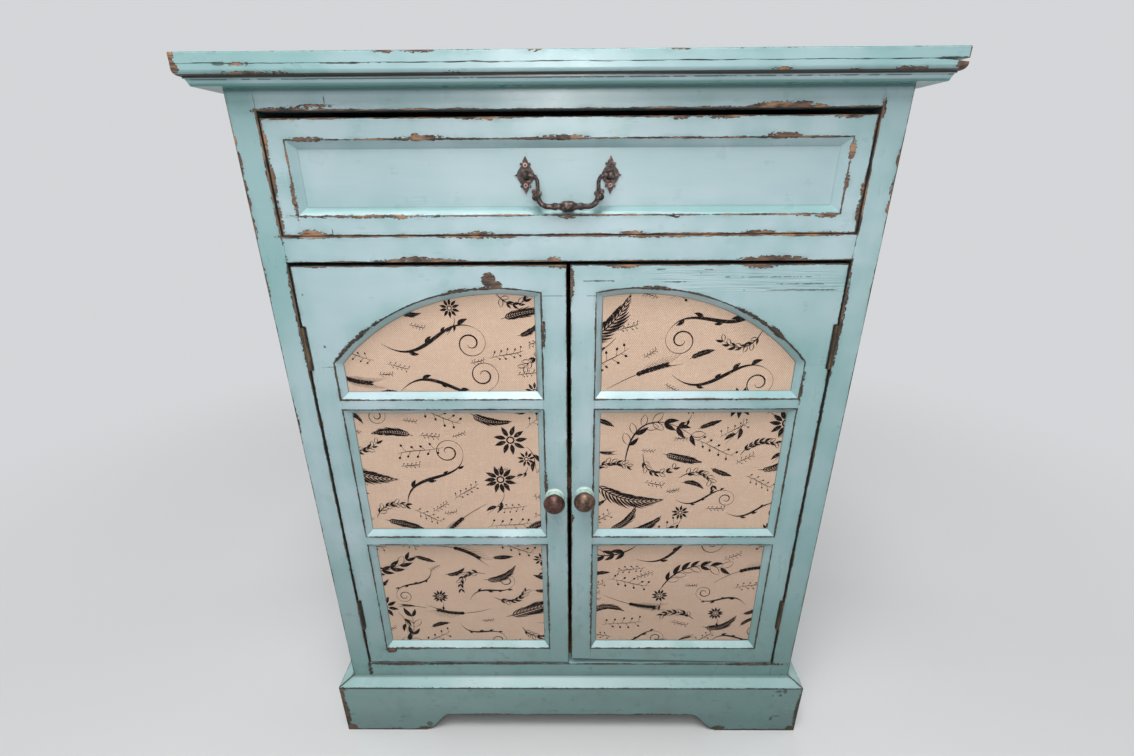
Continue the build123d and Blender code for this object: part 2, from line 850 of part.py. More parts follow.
def bail_grip():
    """Turned grip with a swelling between two beads, and a rosette on its front."""
    outline = Spline((-grip_half, bail_foot_radius), (-grip_collar_x, grip_collar),
                     (-bead_x, bead_radius), (-grip_neck_x, grip_neck),
                     (-grip_shoulder_x, grip_shoulder), (0, grip_radius), tangents=[(1, 0), (1, 0)])
    ends = Polyline((0, grip_radius), (0, 0), (-grip_half, 0), (-grip_half, bail_foot_radius))
    half = Pos(0, bail_y, pull_z - bail_drop) * revolve(make_face([outline, ends]), Axis.X)
    reach = grip_radius + rosette_proud
    disc = Rot(90, 0, 0) * Cylinder(rosette_radius, reach)
    return half + mirrored(half) + Pos(0, bail_y - reach / 2, pull_z - bail_drop) * disc


def bail():
    """Swinging handle, hung by its two pins."""
    arm = bail_arm()
    return bail_grip() + arm + mirrored(arm)


# ---------------------------------------------------------------- assembly


def case_pieces():
    """Everything that stands still."""
    lifted = lifted_corner()
    return {
        "top_board": top_board(),
        "cornice_front": wrap_front(cornice_profile(), top_overhang) - lifted,
        "cornice_left": wrap_left(cornice_profile(), top_overhang),
        "cornice_right": mirrored(wrap_left(cornice_profile(), top_overhang)) - lifted,
        "stile_left": stile(),
        "stile_right": mirrored(stile()),
        "top_rail": rail(top_rail_bottom, case_top),
        "middle_rail": rail(middle_rail_bottom, middle_rail_top),
        "bottom_rail": rail(case_bottom, floor_top),
        "side_panel_left": side_panel(),
        "side_panel_right": mirrored(side_panel()),
        "back_panel": back_panel(),
        "cabinet_floor": cabinet_floor(),
        "shelf": shelf(),
        "side_cleats": side_cleats(),
        "drawer_runners": drawer_runners(),
        "drawer_kickers": drawer_kickers(),
        "plinth_front": plinth_front(),
        "plinth_left": plinth_left(),
        "plinth_right": mirrored(plinth_left()),
        "plinth_blocks": plinth_blocks(),
        "case_hinge_leaves": case_hinge_leaves(),
        "hinge_pins": hinge_pins(),
        "magnetic_catch": catch(),
    }


def drawer_pieces():
    """The drawer, its pull and the bail."""
    return {
        "drawer_front": drawer_front(),
        "drawer_side_left": drawer_side(),
        "drawer_side_right": mirrored(drawer_side()),
        "drawer_back": drawer_back(),
        "drawer_base": drawer_base(),
        "pull_plate_left": pull_plate(),
        "pull_plate_right": mirrored(pull_plate()),
        "pull_screws": pull_screws(),
        "bail": bail(),
    }


def door_pieces(taper, knob_height):
    """A left door with its panel, hinge leaves, knob and catch plate."""
    knob_x = door_lock_x - knob_inset
    pieces = door_frame(taper) | door_panel()
    pieces["panel_strips"] = panel_strips()
    pieces["hinge_leaves"] = door_hinge_leaves()
    pieces["knob"] = turned(knob_profile(), knob_x, knob_height)
    pieces["knob_base"] = turned(knob_base_profile(), knob_x, knob_height)
    pieces["catch_plate"] = catch_plate()
    return pieces


def flipped(piece):
    """A piece, or every piece of a group, on the other side of the cabinet."""
    if isinstance(piece, list):
        return [mirrored(item) for item in piece]
    return mirrored(piece)


def write(name, piece):
    """Write one sub-part, or one group of equal sub-parts, as a STEP file."""
    pieces = piece if isinstance(piece, list) else [piece]
    solids = [solid for item in pieces for solid in item.solids()]
    export_step(Compound(solids), f"parts/{name}.step")


os.makedirs("parts", exist_ok=True)
nodes = case_pieces() | drawer_pieces()
for name, piece in door_pieces(0, left_knob_height).items():
    nodes[f"left_door_{name}"] = piece
for name, piece in door_pieces(right_door_bottom_taper, right_knob_height).items():
    nodes[f"right_door_{name}"] = flipped(piece)
for name, piece in nodes.items():
    write(name, piece)
print(len(nodes), "nodes, total height", round(total_height, 2))
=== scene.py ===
"""Looks of a painted accent cabinet: worn turquoise paint, printed linen and dark bronze fittings."""

import random
from math import atan2, cos, dist, log, pi, radians, sin

import bmesh
import bpy
from mathutils import Matrix, Vector


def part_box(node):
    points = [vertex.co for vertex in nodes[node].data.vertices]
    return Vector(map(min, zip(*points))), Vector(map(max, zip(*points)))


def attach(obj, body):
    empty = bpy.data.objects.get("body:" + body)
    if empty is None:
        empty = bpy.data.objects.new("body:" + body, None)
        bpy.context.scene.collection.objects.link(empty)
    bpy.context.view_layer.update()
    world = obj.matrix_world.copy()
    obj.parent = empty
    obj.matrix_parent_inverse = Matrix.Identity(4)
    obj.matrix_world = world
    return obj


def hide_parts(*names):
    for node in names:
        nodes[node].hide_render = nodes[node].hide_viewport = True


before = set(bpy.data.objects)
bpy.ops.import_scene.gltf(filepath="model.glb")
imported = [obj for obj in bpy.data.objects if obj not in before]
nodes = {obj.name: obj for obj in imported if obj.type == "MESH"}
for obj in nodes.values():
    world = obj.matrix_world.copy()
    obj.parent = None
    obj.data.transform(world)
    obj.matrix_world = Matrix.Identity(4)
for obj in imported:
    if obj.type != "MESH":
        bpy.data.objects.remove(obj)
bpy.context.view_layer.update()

MM = 0.001


# ---------------- places on the cabinet, in mm


def span(name, axis):
    """Where a CAD node starts and ends along an axis."""
    place = "xyz".index(axis)
    return [round(corner[place] / MM, 3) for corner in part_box(name)]


def centre_of(name, axis):
    """Middle of a CAD node along an axis."""
    return sum(span(name, axis)) / 2


FRONT, RAIL_BACK = span("top_rail", "y")
BACK = span("top_board", "y")[1]
OPENING, HALF = span("stile_right", "x")
OPENING_X = (-OPENING, OPENING)
CASE_TOP, TOP = span("top_board", "z")
BOARD_HALF = span("top_board", "x")[1]
BOARD_FRONT = span("top_board", "y")[0]
MOULDING_FOOT = span("cornice_front", "z")[0]
MOULDING_LEDGE = 878.4
MOULDING_GROOVE = 876

BOTTOM_RAIL = span("bottom_rail", "z")
MIDDLE_RAIL = span("middle_rail", "z")
TOP_RAIL = span("top_rail", "z")
DOOR_X = span("right_door_top_rail", "x")
HINGE_JOINT, DOOR_TOP = span("right_door_top_rail", "z")
LOCK_JOINT = 672.5
DOOR_FOOT, BOTTOM_BAR_TOP = span("left_door_bottom_rail", "z")
DOOR_Z = (DOOR_FOOT, DOOR_TOP)
DRAWER_X = span("drawer_front", "x")
DRAWER_Z = span("drawer_front", "z")
GAP_DEPTH = 1.4

BEVEL = 8
RECESS_X = (-276.6, 276.6)
RECESS_Z = (756.1, 827.2)
LIGHT_IN, LIGHT_OUT = span("right_door_upper_bar", "x")
LOWER_BAR = span("right_door_lower_bar", "z")
UPPER_BAR = span("right_door_upper_bar", "z")
LIGHTS = (
    (BOTTOM_BAR_TOP - BEVEL, LOWER_BAR[0] + BEVEL),
    (LOWER_BAR[1] - BEVEL, UPPER_BAR[0] + BEVEL),
)
TOP_LIGHT = UPPER_BAR[1] - BEVEL
ARCH_X = 80
ARCH_Z = 430.8
ARCH_R = 250

PLINTH_FACE = span("plinth_front", "y")[0]
PLINTH_HALF = span("plinth_front", "x")[1]
PLINTH_TOP = span("plinth_front", "z")[1]
PLINTH_EDGE = 91
CUTOUT_X = (182, 221)
CUTOUT_Z = (34, 1.5)

CHIP_DEPTH = 1.6
SCREW_R = 2.3
LEAF_SCREWS = (196.1, 236.1, 593.1, 633.1)
LEAF_Y = -143
CASE_LEAF_X = 296.5
DOOR_LEAF_X = 296
LEAF_SCREW_R = 2.6
NAIL_R = 1.7


# ---------------- colours


def srgb(red, green, blue):
    """Linear colour for an 0 to 255 screen colour."""
    parts = []
    for value in (red, green, blue):
        share = value / 255
        parts.append(share / 12.92 if share <= 0.04045 else ((share + 0.055) / 1.055) ** 2.4)
    return (*parts, 1)


PAINT = srgb(158, 186, 190)
PAINT_DEEP = srgb(116, 163, 161)
# darker paint low down: partly painted light falloff towards the floor, partly grime
PAINT_LOW = srgb(108, 141, 137)
# dull dark teal for the painted shade on the lower right
PAINT_DUSK = srgb(92, 122, 117)
PAINT_PALE = srgb(180, 201, 207)
# pale paint for the painted light on up-facing tops low down
PAINT_SILL_LIT = srgb(194, 219, 221)
STAIN = srgb(98, 120, 108)
# dark glaze of the wear, also used as painted shade in gaps and at the foot of bevels
GLAZE_AND_SHADE = srgb(45, 58, 53)
# dark teal for painted shade in the hollow of the moulding and under it
COVE_SHADE = srgb(66, 122, 116)
SEAM = srgb(30, 36, 34)
# dark brown of the line under the moulding ledge: worn wood with painted shadow
BROWN_LINE = srgb(56, 43, 37)
WOOD_MID = srgb(116, 89, 71)
WOOD_LIGHT = srgb(174, 132, 99)
WOOD_DARK = srgb(46, 35, 29)
MOSS = srgb(42, 48, 40)
SURROUND = (0.66, 0.67, 0.69, 1)
FLOOR_SEEN = (0.6, 0.604, 0.608, 1)
FLOOR_BOUNCE = (0.42, 0.42, 0.42, 1)
WHITE = (1, 1, 1, 1)


# ---------------- shader arithmetic


class Val:
    """A number, vector or colour that shader nodes work out."""

    def __init__(self, graph, out):
        self.graph = graph
        self.out = out

    def __add__(self, other):
        return self.graph.math("ADD", self, other)

    def __sub__(self, other):
        return self.graph.math("SUBTRACT", self, other)

    def __rsub__(self, other):
        return self.graph.math("SUBTRACT", other, self)

    def __mul__(self, other):
        return self.graph.math("MULTIPLY", self, other)

    def __neg__(self):
        return self.graph.math("MULTIPLY", self, -1)

    def __abs__(self):
        return self.graph.math("ABSOLUTE", self)

    __radd__ = __add__
    __rmul__ = __mul__

    def ramp(self, low, high, start=0, end=1):
        """Start where this is low, end where it is high, and smooth between."""
        made = self.graph.node("ShaderNodeMapRange", interpolation_type="SMOOTHSTEP")
        self.graph.feed(made.inputs, self, low, high, start, end)
        return Val(self.graph, made.outputs[0])


def pick(operation, values):
    """One of some values, found by comparing them in turn."""
    graph = next(value.graph for value in values if isinstance(value, Val))
    best = values[0]
    for value in values[1:]:
        best = graph.math(operation, best, value)
    return best


def most(*values):
    """Largest of some values."""
    return pick("MAXIMUM", values)


def least(*values):
    """Smallest of some values."""
    return pick("MINIMUM", values)


def corner(first, second):
    """Distance from the line where two planes meet, from the distances to them."""
    return first.graph.math("SQRT", first * first + second * second)


def outside(value, low, high):
    """How far a value lies outside a span; negative inside."""
    return abs(value - (low + high) / 2) - (high - low) / 2


def rectangle(across, up, width, height):
    """Distance to a rectangle from the spans of its two sides; negative inside."""
    return most(outside(across, *width), outside(up, *height))


class Graph:
    """Nodes of a material or of the world, and the arithmetic between them."""

    def __init__(self, owner, output):
        owner.use_nodes = True
        self.tree = owner.node_tree
        self.tree.nodes.clear()
        self.result = self.node(output).inputs["Surface"]

    def node(self, kind, **settings):
        made = self.tree.nodes.new(kind)
        for key, value in settings.items():
            setattr(made, key, value)
        return made

    def put(self, socket, value):
        if isinstance(value, Val):
            self.tree.links.new(value.out, socket)
        else:
            socket.default_value = value

    def feed(self, sockets, *values):
        for socket, value in zip(sockets, values):
            self.put(socket, value)

    def fill(self, node, **values):
        for key, value in values.items():
            self.put(node.inputs[key.replace("_", " ")], value)

    def math(self, operation, *values):
        made = self.node("ShaderNodeMath", operation=operation)
        self.feed(made.inputs, *values)
        return Val(self, made.outputs[0])

    def rays(self):
        """Whether a ray comes straight from the camera, and whether by way of a mirror."""
        kinds = self.node("ShaderNodeLightPath").outputs
        return Val(self, kinds["Is Camera Ray"]), Val(self, kinds["Is Glossy Ray"])

    def glow(self, kind, color, strength):
        """A shader that gives off light."""
        made = self.node(kind)
        self.fill(made, Color=color, Strength=strength)
        return Val(self, made.outputs[0])

    def blend(self, share, first, second):
        """Mix two shaders into the result."""
        made = self.node("ShaderNodeMixShader")
        self.feed(made.inputs, share, first, second)
        self.put(self.result, Val(self, made.outputs[0]))


class Shader(Graph):
    """A material with a principled shader, and the patterns that feed it. Lengths are in mm."""

    def __init__(self, name):
        self.material = bpy.data.materials.new(name)
        super().__init__(self.material, "ShaderNodeOutputMaterial")
        self.surface = self.node("ShaderNodeBsdfPrincipled")
        self.reflected = Val(self, self.surface.outputs["BSDF"])
        self.put(self.result, self.reflected)
        metres = Val(self, self.node("ShaderNodeTexCoord").outputs["Object"])
        self.p = self.vector("MULTIPLY", metres, (1 / MM, 1 / MM, 1 / MM))
        self.x, self.y, self.z = self.split(self.p)
        self.side = abs(self.x)
        self.depth = self.y - FRONT
        normal = Val(self, self.node("ShaderNodeNewGeometry").outputs["True Normal"])
        self.up = self.split(normal)[2]

    def vector(self, operation, *values):
        made = self.node("ShaderNodeVectorMath", operation=operation)
        self.feed(made.inputs, *values)
        return Val(self, made.outputs["Value" if operation == "LENGTH" else "Vector"])

    def split(self, vector):
        made = self.node("ShaderNodeSeparateXYZ")
        self.put(made.inputs[0], vector)
        return [Val(self, out) for out in made.outputs]

    def noise(self, size, detail=2, rough=0.5, stretch=(1, 1, 1), shift=(0, 0, 0)):
        """Noise about 0, with blobs of a size in mm, drawn out by the stretch."""
        scale = [1 / (size * part) for part in stretch]
        place = self.vector("MULTIPLY_ADD", self.p, scale, shift)
        made = self.node("ShaderNodeTexNoise", noise_dimensions="3D")
        self.fill(made, Vector=place, Scale=1, Detail=detail, Roughness=rough)
        return Val(self, made.outputs["Fac"]) - 0.5

    def mix(self, share, first, second):
        made = self.node("ShaderNodeMix", data_type="RGBA")
        self.feed((made.inputs[0], made.inputs[6], made.inputs[7]), share, first, second)
        return Val(self, made.outputs[2])

    def layers(self, color, *layers):
        """A colour with others laid over it in turn, each by a share."""
        for share, tint in layers:
            color = self.mix(share, color, tint)
        return color

    def coat(self, height, strength, **values):
        """Finish the surface with its values and a relief from a height in mm."""
        bump = self.node("ShaderNodeBump")
        self.fill(bump, Height=height, Strength=strength, Distance=MM)
        self.fill(self.surface, Normal=Val(self, bump.outputs["Normal"]), **values)
        return self.material


# ---------------- paint


def along(grain, stretch):
    """Stretch of a pattern that is drawn out along the grain."""
    return [stretch if axis == grain else 1 for axis in "xyz"]


def chip_field(shader, chips, plane):
    """Largest distance in mm that a point lies inside any chip, each an ellipse on the plane."""
    insides = []
    for x, z, half_x, half_z in chips:
        scale = (1 / half_x, 1 / CHIP_DEPTH, 1 / half_z)
        place = (-x / half_x, -plane / CHIP_DEPTH, -z / half_z)
        reach = shader.vector("LENGTH", shader.vector("MULTIPLY_ADD", shader.p, scale, place))
        insides.append((1 - reach) * min(half_x, half_z))
    return most(*insides)


def wear(shader, grain, coarse, arrises, chips):
    """How deep a point lies in the wear: in its plain outline, its firm part and its ragged outline."""
    fine = shader.noise(1.1, 2, 0.6, along(grain, 3.2))
    uneven = shader.noise(24, shift=(1, 6, 2))
    patches = shader.noise(60, shift=(2, 9, 4)).ramp(0.06, 0.24)
    line = most(*(width * (1 + uneven * 3) - distance for distance, width, *_ in arrises))
    wide = (most(patches * spread, *hump) - distance for distance, _, spread, *hump in arrises)
    loose = most(chips, *wide)
    edge = most(line, loose)
    solid = most(line, chips)
    line = line + fine * 1.6 + coarse * 1.4
    loose = loose + (fine * 8 + coarse * 7) * loose.ramp(-2.6, 1)
    return edge, solid, most(line, loose)


def paint_tones(shader, grain, edge, brush, soot):
    """Turquoise deepening near the worn edges, with painted light and shade over it: darker towards the
    floor, a lighter middle band, darker towards the sides and the lower right, paler tops low down and
    deeper tops up high.
    """
    x, z, side = shader.x, shader.z, shader.side
    broad = shader.noise(150) + shader.noise(40, 3, 0.6, along(grain, 5)) * 0.5
    # painted light: a paler band across the middle rail and the door tops, fading towards the sides
    painted_light_band = z.ramp(600, 670) * z.ramp(765, 735) * side.ramp(340, 150)
    # top board a little deeper all along, and deeper towards its ends as painted shade
    board = z.ramp(877, 879) * (side.ramp(80, 320) * 0.4 + 0.12)
    ahead = shader.y.ramp(FRONT + 20, FRONT + 8)
    # painted shade on the upper left stile
    left_stile_shade = x.ramp(-292, -304) * z.ramp(560, 700) * ahead * 0.45
    # painted shade towards the right edge of the right door
    right_door = x.ramp(110, 270) * z.ramp(709, 700) * ahead * 0.3
    # painted shade on the lower right
    low_right = x.ramp(-220, 120) * z.ramp(330, 60)
    upward = shader.up.ramp(0.3, 0.6)
    # painted light: up-facing tops paler in the lower half
    sill_light = z.ramp(560, 120) * (0.28 + 0.4 * z.ramp(100, 140))
    # painted shade: up-facing tops deeper in the upper part, most on the moulding
    ledge = z.ramp(700, 740) * (0.55 + 0.25 * z.ramp(870, 880))
    wash = edge.ramp(-26, -1) * shader.noise(48, 3, shift=(5, 5, 2)).ramp(-0.16, 0.2)
    stain = shader.noise(34, 4, 0.65, shift=(3, 8, 6)).ramp(0, 0.16) * (1 - upward)
    return shader.layers(
        shader.mix((broad + brush * 0.12).ramp(-0.24, 0.3), PAINT, PAINT_PALE),
        # darker towards the floor: partly painted light falloff, partly grime
        (z.ramp(430, 30) * 0.8, PAINT_LOW),
        # painted light band
        (painted_light_band * 0.6, PAINT_PALE),
        # deeper top board, with painted shade on its ends, the upper left stile and the right door
        (most(board, left_stile_shade, right_door), PAINT_DEEP),
        # painted shade on the lower right
        (low_right * 0.45, PAINT_DUSK),
        # painted light on up-facing tops
        (upward * sill_light, PAINT_SILL_LIT),
        # painted shade on up-facing tops up high
        (upward * ledge, PAINT_DEEP),
        (wash * 0.42, PAINT_DEEP),
        (stain * z.ramp(340, 40) * 0.3, STAIN),
        (soot * 0.22, GLAZE_AND_SHADE),
    )


def brown_wood(shader, fibre, warm, core):
    """Wood laid bare: dark and mossy low down, lighter in the middle of the warm chips."""
    wood = shader.mix((fibre + shader.noise(22) * 0.8).ramp(-0.22, 0.16), WOOD_DARK, WOOD_MID)
    orange = (shader.noise(26, shift=(9, 4, 2)) + fibre * 0.4).ramp(-0.02, 0.18)
    low_right = shader.x.ramp(0, 250) * shader.z.ramp(110, 60)
    return shader.layers(
        wood,
        (orange * (warm * 0.75 + 0.15), WOOD_LIGHT),
        ((1 - core) * 0.85, WOOD_DARK),
        ((1 - warm) * 0.3 + low_right * 0.5, MOSS),
    )


def painted(name, grain, arrises, chips, cracks, creases, plane, stripes=None):
    """Worn paint over brown wood.

    Arrises give a distance, a width and a spread in mm, and humps that widen the spread.
    Creases give a distance, a reach and a share, and a tint where it isn't the dark glaze; some are real
    joints and cracks, others painted shade in gaps and hollows.
    Stripes are the middle and the half sizes of a place with combed brush marks, whose crests get a
    painted highlight.
    """
    shader = Shader(name)
    coarse = shader.noise(4, 2, 0.55, along(grain, 1.8), (7, 3, 1))
    brush = shader.noise(2.4, 3, 0.6, along(grain, 16))
    hair = shader.noise(0.9, 2, 0.6, along(grain, 22), (3, 1, 8))
    fibre = shader.noise(2, 3, 0.65, along(grain, 6), (6, 2, 2))
    dents = shader.noise(16, 3)
    edge, solid, level = wear(shader, grain, coarse, arrises(shader), chip_field(shader, chips, plane))
    bare = level.ramp(0, 0.15)
    rim = abs(level - 0.1).ramp(0.5, 0.05)
    warm = shader.z.ramp(650, 740)
    core = (solid + (edge - solid + 0.9) * warm + coarse).ramp(0.4, 1.4)
    soot = edge.ramp(-5, 0.5) * dents.ramp(-0.1, 0.25)
    color = paint_tones(shader, grain, edge, brush, soot)
    for distance, reach, share, *tint in creases(shader):
        color = shader.mix(distance.ramp(reach, reach * 0.35) * share, color, tint[0] if tint else GLAZE_AND_SHADE)
    height = brush * 0.065 + hair * 0.05 + dents * 0.14
    if cracks:
        split = (chip_field(shader, cracks, plane) + coarse * 2.4).ramp(0, 0.3)
        color = shader.mix(split * 0.75, color, GLAZE_AND_SHADE)
        height = height - split * 0.3
    if stripes:
        x, z, half_x, half_z = stripes
        across = outside(shader.x, x - half_x, x + half_x).ramp(0, -20)
        mask = across * outside(shader.z, z - half_z, z + half_z).ramp(0, -8)
        furrow = shader.noise(1.7, 2, 0.5, along(grain, 34), (2, 2, 9))
        height = height + furrow * mask * 0.9
        hollow = furrow.ramp(-0.1, -0.2) * mask * 0.3
        # painted highlight on the crests of the brush marks
        crest_highlight = furrow.ramp(0.1, 0.2) * mask * 0.35
        color = shader.layers(color, (hollow, GLAZE_AND_SHADE), (crest_highlight, PAINT_PALE))
    color = shader.layers(color, (bare, brown_wood(shader, fibre, warm, core)), (rim * 0.72, WOOD_DARK))
    height = height - bare * 0.35 + fibre * bare * 0.3
    roughness = 0.29 + bare * 0.3 + soot * 0.1 + shader.noise(25) * 0.1 + brush * 0.03
    return shader.coat(height, 0.8, Base_Color=color, Roughness=roughness)


# Chips and cracks: x and z of the middle, and the half sizes, in mm
CASE_CHIPS = [
    (208.9, 852.5, 37, 5.4), (192.9, 853.2, 15.1, 4.6), (-266.2, 852.5, 31.1, 3.2),
    (-240.8, 856.6, 15, 0.8), (298.6, 848.9, 3.2, 5.9), (299.1, 856, 1.7, 3.8),
    (-325, 826.7, 2.2, 7.9), (-325, 805.9, 2.8, 12.8), (-325, 776, 3, 17.2),
    (-325, 745.8, 2.8, 12.9), (-325, 690, 2.4, 20), (-325, 520, 2.2, 30),
    (325, 807.7, 2.8, 7.2), (325, 781.1, 3.2, 10.3), (325, 762.1, 3.2, 6.8),
    (-267.4, 736, 28.2, 2), (-87.9, 736, 37.9, 2.6), (89.8, 736, 36.2, 2.6),
    (-157.8, 709.2, 49.8, 4), (-161.8, 711.9, 15.8, 3.4), (215.2, 709.2, 36.7, 5.2),
    (-15.1, 711.7, 6.3, 2.9), (-298, 800, 2.2, 22), (-298, 759.2, 2.2, 26.5),
    (298, 640, 3.6, 62), (-298, 650, 3, 58),
    (-298.2, 109, 2.6, 15), (272, 120, 40, 2.6), (-240, 120, 44, 2.8),
]
CASE_CRACKS = [(-240.8, 857, 12, 0.9), (-231, 862, 0.7, 4), (298.2, 780, 0.7, 60)]
DRAWER_CHIPS = [
    (-80.4, 847, 28.2, 3), (107, 846.9, 11.4, 3.6), (149.2, 847, 17.6, 3.4),
    (268.9, 846.4, 13.8, 3.4), (-274.9, 846.5, 18.3, 1.7), (296, 780.4, 3.6, 7.5),
    (296.4, 758.9, 4.6, 11.1), (-295.9, 822.9, 3.4, 13.4), (-296, 790.9, 3.8, 18.6),
    (-296.1, 754.5, 3.4, 17.7), (-254.6, 827.2, 19.5, 2.4), (-140.6, 827.2, 24.3, 3.4),
    (-149.1, 829.6, 5.8, 2.4), (-4.6, 827.6, 22.2, 2.8), (207.9, 828, 16.9, 3.6),
    (276.6, 814.2, 3.6, 9.8), (276.6, 787, 3, 7.4), (-276.9, 774.3, 2.4, 16.7),
    (-204.8, 756, 65.7, 1.6), (-173.2, 755.2, 9.2, 2.4), (-1.7, 755, 8.7, 2.2),
    (107.9, 755.6, 6.1, 2.1), (240.8, 755.8, 10.1, 1.4), (262.4, 755, 10.2, 2.7),
    (-265.2, 737.6, 14, 5), (-91.8, 737, 15.9, 3.4), (66.9, 737, 15.4, 3.2),
    (196.5, 737.4, 16.4, 3.6),
]
DRAWER_CRACKS = [(-137.2, 784.4, 1.9, 2.1), (-243.9, 741, 0.8, 4), (-150, 764.6, 10, 0.7)]
DOOR_CHIPS = [
    (-10.3, 705.4, 10, 3.4), (-268.9, 705.8, 16, 2.1), (-85.8, 690, 7.6, 7.8),
    (-78, 683.6, 6.4, 5.2), (-261.9, 148, 8, 5), (-28.6, 630.1, 2.6, 15.6),
    (-29.6, 431.8, 2.4, 22.2), (57.9, 705, 15.9, 3.2), (202.6, 705.6, 17.8, 4.2),
    (-238, 151, 24, 1.9), (30.2, 400.3, 2.2, 33.6), (269.1, 565.8, 1.6, 17.6),
    (2.2, 381.9, 3.4, 6.2), (2.2, 688.4, 4, 20.4), (30, 240.9, 1.8, 62.8),
    (-30, 240.8, 1.6, 60),
]
DOOR_CRACKS = [
    (-288.3, 674.8, 1.3, 1.3), (-274.9, 615.7, 1.6, 1.6), (-172.3, 649.8, 1.2, 1.2),
    (140.8, 696.5, 1.1, 1.1), (97, 700.5, 5.2, 0.9), (148.4, 700.2, 4.7, 0.9),
    (30.6, 688.5, 18, 1), (112.8, 687.2, 12, 0.9), (249.6, 677.9, 46, 1),
    (250, 684.5, 30, 0.7), (215, 692, 40, 0.6),
]
DOOR_STRIPES = (195, 688, 112, 16)
# Splinters along the arch: a centre, a half width and a height in mm
DOOR_FRINGE = [
    (-262, 8, 2.2), (-250, 12, 2.8), (-234, 16, 2.8), (-214, 14, 1.8),
    (-122, 24, 2.4), (-90, 24, 2.2), (93.5, 26, 2.4), (190, 13, 1.9),
    (203, 12, 2.6), (216, 11, 2), (231, 12, 3.8), (262, 9, 1.4),
]
PLINTH_CHIPS = [
    (-342, 72, 5.6, 26), (-342, 38, 8.5, 30), (-342.4, 5, 15, 9), (-300, 0, 60, 2.6),
    (-222.4, 3, 12, 5.4), (225.8, 5.2, 9, 5.1), (342.3, 40, 5.6, 42), (342, 4, 16, 8),
    (280, 0, 70, 3.6), (-120, 34.5, 30, 2), (120, 34.5, 36, 2), (-340, 89, 9, 3.4),
]
PLINTH_CRACKS = [
    (303.2, 26.6, 3, 4.4), (-215.2, 13.8, 4.6, 5.6), (309.2, 32.2, 6, 1.4), (316.5, 86, 3, 5.6),
    (307, 84.5, 5.2, 2.6), (311, 77, 2, 3.6), (300, 76, 1.8, 2.2),
]
CORNICE_CHIPS = [
    (-351.4, 893.7, 5, 7.9), (-351.1, 883.5, 6.4, 6.3), (-290.9, 886.9, 7.5, 1.2),
    (-161.8, 896.9, 8.8, 2.2), (-132, 896.8, 14, 2), (-29, 896.8, 5.3, 1.8),
    (98.8, 896.9, 7.9, 2.2), (-281.5, 879.5, 35.6, 1.7), (-97.2, 878.8, 15.5, 1.5),
    (190.1, 879.8, 7.5, 1.8), (258.3, 878.7, 7.9, 1.5), (303, 880, 15.3, 1.6),
    (349.8, 882.3, 8.6, 5.2),
]
CORNICE_CRACKS = [(-308.5, 887.3, 6.8, 1.5), (339, 887.3, 13.9, 1.5), (-200, 887, 30, 0.9)]


def bulge(place, humps):
    """Height of a row of humps."""
    best = 0
    for centre, half, height in humps:
        offset = (place - centre) * (1 / half)
        best = most(best, height - offset * offset * height)
    return best


def gap_shade_line(shader, outline):
    """Painted shade on the edges of a gap that follows an outline, partly also dark stained wood."""
    return most(abs(outline), GAP_DEPTH - shader.depth), 0.8, 0.9


def case_arrises(shader):
    """Outer corners of the case and the rims of its openings."""
    side, depth = shader.side, shader.depth
    drawer = rectangle(shader.x, shader.z, OPENING_X, (MIDDLE_RAIL[1], TOP_RAIL[0]))
    doors = rectangle(shader.x, shader.z, OPENING_X, (BOTTOM_RAIL[1], MIDDLE_RAIL[0]))
    return [
        (corner(side - HALF, depth), 0.9, 1.8),
        (corner(side - HALF, shader.y - BACK), 1.2, 3),
        (corner(drawer, depth), 1.2, 1.4),
        (corner(doors, depth), 1.1, 1.2),
    ]


def case_creases(shader):
    """Joints of the face frame, and painted shade on the edges of its openings and in the corner under
    the moulding.
    """
    gate = shader.noise(30, shift=(3, 3, 3)).ramp(-0.06, 0.04)
    rails = [outside(shader.z, *rail) for rail in (TOP_RAIL, MIDDLE_RAIL, BOTTOM_RAIL)]
    joint = most(abs(shader.side - OPENING), least(*rails)) + (1 - gate)
    return [
        (joint, 0.7, 0.45),
        gap_shade_line(shader, most(shader.side - OPENING, -rails[1])),
        # painted shade under the moulding
        (most(MOULDING_FOOT - shader.z, 0), 3, 0.7, COVE_SHADE),
    ]


def light_distance(shader):
    """Distance to the outlines of the three lights of a door; negative inside a light."""
    across = outside(shader.side, LIGHT_IN, LIGHT_OUT)
    arch = corner(shader.side - ARCH_X, shader.z - ARCH_Z) - ARCH_R
    squares = (most(across, outside(shader.z, *light)) for light in LIGHTS)
    return least(*squares, most(across, TOP_LIGHT - shader.z, arch))


def door_arrises(shader):
    """Rim of the door and of each light, with splintered places along the arch."""
    rim = rectangle(shader.side, shader.z, DOOR_X, DOOR_Z)
    fringe = bulge(shader.x, DOOR_FRINGE) * shader.z.ramp(590, 600)
    return [
        (corner(rim, shader.depth), 0.9, 1.2),
        (corner(light_distance(shader), shader.depth), 0.9, 1, fringe),
    ]


